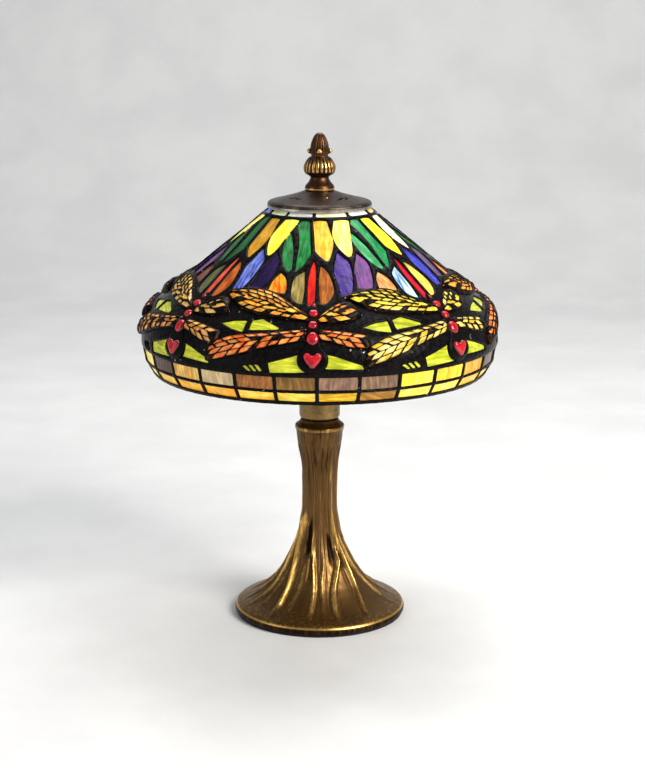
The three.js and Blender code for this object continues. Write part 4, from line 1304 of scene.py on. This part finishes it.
def add_cap():
    """The vented cap: a thin spun sheet with slits through it, and a thin turned-down rim."""
    section = rounded([(3.6, 307.9), (8, 307.9), (11, 307.7), (13.5, 306.8), (17, 305.6), (22, 304.2), (28, 302.6),
                       (33.2, 301.35)], 6)
    slits = vent_slits()
    loops = [ring(SHEET_R, 180), ring(CAP_HOLE, 45), *slits]
    grid = grid_over((-SHEET_R, -SHEET_R), (SHEET_R, SHEET_R), 1.6, 4)
    r = np.hypot(grid[:, 0], grid[:, 1])
    tree = tree_of(np.vstack(loops))
    grid = grid[(r > CAP_HOLE + 0.6) & (r < SHEET_R - 0.7)]
    grid = grid[nearest(tree, grid) > 0.5]
    flat, tris, held, _ = triangulate(loops, grid)
    tris = tris[[0 in h and len(h) == 1 for h in held]]
    used, compact = np.unique(tris, return_inverse=True)
    tris, flat = compact.reshape(tris.shape), flat[used]
    z = np.interp(np.hypot(flat[:, 0], flat[:, 1]), section[:, 0], section[:, 1])
    dip = np.exp(-(nearest(tree_of(np.vstack(slits)), flat) / 0.7) ** 2)  # the sheet turns down at each slit
    a, b, c = (flat[tris[:, k]] for k in range(3))
    turned_up = (b - a)[:, 0] * (c - a)[:, 1] - (b - a)[:, 1] * (c - a)[:, 0] > 0
    tris = np.where(turned_up[:, None], tris, tris[:, ::-1])
    verts, faces = between_skins(np.column_stack([flat, z - 0.25 * dip]), np.column_stack([flat, z - 1.0]), tris)
    ridge = np.concatenate([0.42 - 0.35 * dip, np.full(len(flat), 0.2)])
    add_piece("cap_sheet", verts, faces, "cap", "shade", ["vented_cap"], "dark_bronze", {"ridge": ridge}, 40)

    rim = rounded([(32.7, 301.5), (34.4, 301.0), (35.6, 300.5), (36.3, 299.7), (CAP_OUTER, 298.6),
                   (CAP_OUTER + 0.1, 297.4), (CAP_OUTER, 296.5), (36.0, 296.2), (35.5, 296.4), (35.4, 297.6),
                   (35.2, 299.0), (34.2, 299.9), (32.7, 300.4)], 5, closed=True)

    def polish(turn, radius, height, row):
        r, z = rim[row]
        value = 0.4
        if r > 35.9 and z < 298.6:
            value = 0.86  # the polished skirt
        elif r > 35.9 and 299.0 <= z < 300.2:
            value = 0.6
        return radius, height, np.full(len(turn), value)

    add_turned("cap_rim", rim, "cap", "shade", ["vented_cap"], "dark_bronze", 168, polish)

    rivet = [(0, 304.6), (1.0, 304.6), (1.0, 305.2), (0.8, 305.6), (0.4, 305.8), (0, 305.85)]
    verts, faces, _ = revolve(rivet, 20)
    verts += np.array([RIVET_R * math.sin(RIVET_AT), -RIVET_R * math.cos(RIVET_AT), -0.35])
    add_piece("cap_rivet", verts, faces, "brass", "shade", ["vented_cap"], "dark_bronze")


# ---------------------------------------------------------------- socket, harp and bulb


def sweep(points, radius, sides=16):
    """A round rod with closed ends along points in the XZ plane."""
    line = np.asarray(points, float)
    along = np.gradient(line, axis=0)
    along /= np.linalg.norm(along, axis=1)[:, None]
    side = np.stack([along[:, 1], -along[:, 0]], axis=1)
    verts, faces = [], []
    for (x, z), (sx, sz) in zip(line, side):
        for k in range(sides):
            a = 2 * math.pi * k / sides
            verts.append((x + sx * radius * math.cos(a), radius * math.sin(a), z + sz * radius * math.cos(a)))
    for i in range(len(line) - 1):
        for k in range(sides):
            n = (k + 1) % sides
            faces.append([i * sides + k, i * sides + n, (i + 1) * sides + n, (i + 1) * sides + k])
    faces.append(list(range(sides)))
    faces.append([(len(line) - 1) * sides + k for k in range(sides)][::-1])
    verts = np.array(verts)
    return verts, outward(verts, faces)


LAMP_PITCH = 3.63  # of the bulb's thread and its socket's
STUD_PITCH = 25.4 / 27  # 27 threads an inch


def thread_line(radius, depth, start, heights):
    """Points down the outline of the bulb's thread, or of its socket's."""
    return [(radius + depth * math.sin(2 * math.pi * (z - start) / LAMP_PITCH), z) for z in heights]


def add_socket():
    cap = [(5.1, 160.4), (11.8, 160.4), *rounded([(12.2, 160.5), (14.8, 161.9), (16.3, 163.5), (16.8, 165.4)], 5),
           (16.8, 168.4), (17.0, 168.9), (16.8, 169.4), (16.8, 171.0), (16.0, 171.0), (16.0, 165.4), (11.6, 161.4),
           (5.1, 161.4)]
    add_turned("socket_base_cap", cap, "antique_brass", "base", ["socket_cap"], "antique_brass", 96)

    shell = [(16.0, 171.3), (16.8, 171.3), (16.8, 198.0), *rounded([(16.8, 198.4), (17.1, 199.0), (16.8, 199.6)], 4),
             (16.8, 201.0), *rounded([(16.8, 201.4), (17.1, 202.0), (16.8, 202.6)], 4), (16.8, 204.9), (16.95, 205.3),
             (16.6, 205.5), (16.0, 205.5)]
    keyway, reach, wall = 2.6, 8, 16.4  # the keyway's radius, half its cutter's length, and the cover's radius
    verts, faces, ridge = revolve(shell, 144)

    # The switch shaft passes through a round keyway that is cut out of the cover's wall.
    low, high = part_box("switch_shaft")
    shaft_z = (low[2] + high[2]) / 2 / MM
    cover = add_piece("socket_cover", verts, faces, "antique_brass", "base", ["socket_shell"], "antique_brass",
                      {"ridge": ridge}, 35)
    plug_verts, plug_faces, _ = revolve([(0, -reach), (keyway, -reach), (keyway, reach), (0, reach)], 32)
    plug_verts = plug_verts[:, [0, 2, 1]] + np.array([0, -wall, shaft_z])
    plug_mesh = bpy.data.meshes.new("keyway_cutter")
    plug_mesh.from_pydata((plug_verts * MM).tolist(), [], outward(plug_verts, plug_faces))
    plug = bpy.data.objects.new("keyway_cutter", plug_mesh)
    bpy.context.scene.collection.objects.link(plug)
    cut = cover.modifiers.new("keyway", "BOOLEAN")
    cut.operation, cut.solver, cut.object = "DIFFERENCE", "EXACT", plug
    graph = bpy.context.evaluated_depsgraph_get()
    done = bpy.data.meshes.new_from_object(cover.evaluated_get(graph))
    cover.modifiers.clear()
    cover.data = done
    bpy.data.objects.remove(plug)

    heights, z = [], 182.0
    while z < 204:
        heights.append(z)
        z += LAMP_PITCH / 6
    screw = [(13.5, 181.4), *thread_line(14.0, 0.3, 182, heights), (14.1, 204.5),
             *thread_line(13.45, 0.3, 182, heights[::-1])]
    add_turned("socket_thread", screw, "brass", "base", ["socket_screw_shell"], "brass", 72)


def add_switch():
    """The fluted switch key, turned about the axis of its shaft."""
    low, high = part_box("switch_knob")
    front, back = -low[1] / MM, -high[1] / MM
    z0 = (low[2] + high[2]) / 2 / MM
    profile = [(0, 0), (4.9, 0), (5.3, 0.4), (5.35, 1.0), (5.35, 10.6), (5.1, 11.8), (4.4, 12.6), (3.0, 12.95),
               (0, front - back)]
    steps, flutes = 120, 20

    def flute(turn, radius, height, row):
        r = profile[row][0]
        depth = 0.42 * np.clip(np.cos(flutes * turn), -0.3, 1) if r > 4.8 else np.zeros(steps)
        return radius - depth, height, 0.5 + depth

    verts, faces, _ = revolve(profile, steps, flute)
    verts = np.column_stack([verts[:, 0], -(back + verts[:, 2]), verts[:, 1] + z0])
    add_piece("switch_key", verts, outward(verts, faces), "phenolic", "switch", ["switch_knob"], "phenolic", None, 35)


def add_harp():
    """The bent harp wire, its two sleeves and the threaded stud on top."""
    foot = 30.5  # from the axis to each foot of the wire
    leg = [(foot, 173.5), (foot, 182), (36, 205), (39.5, 232), (35, 262), (21, 284), (7, 291.4)]
    loop = leg + [(-x, z) for x, z in leg[::-1]]
    verts, faces = sweep(rounded(loop, 8), 1.7, 20)
    add_piece("harp_wire", verts, faces, "brass", "base", ["harp_loop"], "brass", None, 50)
    sleeve = [(2.3, 164.2), (3.0, 164.0), (3.4, 164.5), (3.4, 166.0), (3.15, 166.4), (3.15, 175.6), (3.4, 176.0),
              (3.4, 177.4), (3.0, 178.0), (2.3, 177.8)]
    for name, side in (("left", -1), ("right", 1)):
        verts, faces, _ = revolve(sleeve, 48)
        verts[:, 0] += side * foot
        add_piece(f"harp_cuff_{name}", verts, faces, "brass", "base", [f"harp_sleeve_{name}"], "brass", None, 35)
    stud = [(0, 293.9), (5.9, 293.9), (6.5, 294.3), (6.5, 294.9), (5.9, 295.3), (3.0, 295.3)]
    z = 295.6
    while z < 317.4:
        stud += [(2.72, z), (3.05, z + STUD_PITCH / 2)]
        z += STUD_PITCH
    stud += [(2.6, 317.9), (2.2, 318.0), (0, 318.0)]
    add_turned("harp_screw", stud, "brass", "base", ["harp_stud"], "brass", 40)


def add_bulb():
    """The bulb: a thin glass envelope, and its threaded metal cap."""
    middle, radius, wall = 247, 24, 1.2  # the dome's centre height and radius, and the glass's thickness
    dome_line = [(radius * math.cos(a), middle + radius * math.sin(a)) for a in np.linspace(0, math.pi / 2, 14)]
    neck = rounded([(11.7, 196), (11.8, 206), (12.4, 213), (15.0, 222), (18.8, 230), (22.6, 238.5),
                    (radius, middle)], 5)
    outer = [*neck, *dome_line[1:-1]]
    inner = [(r - wall if r > 2 else r, z - (wall if z > middle else 0)) for r, z in outer][::-1]
    profile = [(0, 269.8), *inner, *outer, (0, 271)]
    add_turned("bulb_envelope", profile, "bulb_glass", "bulb", ["bulb_globe"], "bulb_glass", 72)
    thread = thread_line(12.45, 0.42, 190, [190.4 + k * 0.62 for k in range(26)])
    shell = [(0, 185.4), (4.6, 185.4), (5.4, 185.8), (9.0, 187.2), (12.0, 189.4), *thread, (12.9, 207.0),
             (12.2, 207.0), (12.0, 190.4), (0, 186.6)]
    add_turned("bulb_screw", shell, "aluminium", "bulb", ["bulb_screw_base"], "bulb_cap", 72)


# The CAD nodes that are shown as they are, with the material of each.
KEPT = {
    "felt_pad": "felt", "base_weight": "iron", "cord_bushing": "rubber", "pipe_nut": "steel", "pipe_washer": "steel",
    "threaded_pipe": "steel", "harp_saddle": "antique_brass", "socket_body": "phenolic", "socket_contact": "brass",
    "switch_shaft": "steel", "bulb_contact": "brass", "shade_spider": "antique_brass", "finial_insert": "brass",
}


def dress_kept_nodes():
    """Gives the CAD nodes that are shown as they are their materials."""
    for name, material in KEPT.items():
        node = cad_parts[name]
        node.data.materials.clear()
        node.data.materials.append(MATERIALS[material])


add_camera()
add_studio()
add_floor()
add_glass_and_solder()
add_dragonflies()
add_rim_and_collar()
add_trunk()
add_neck()
add_finial()
add_cap()
add_socket()
add_switch()
add_harp()
add_bulb()
dress_kept_nodes()

bpy.context.view_layer.update()
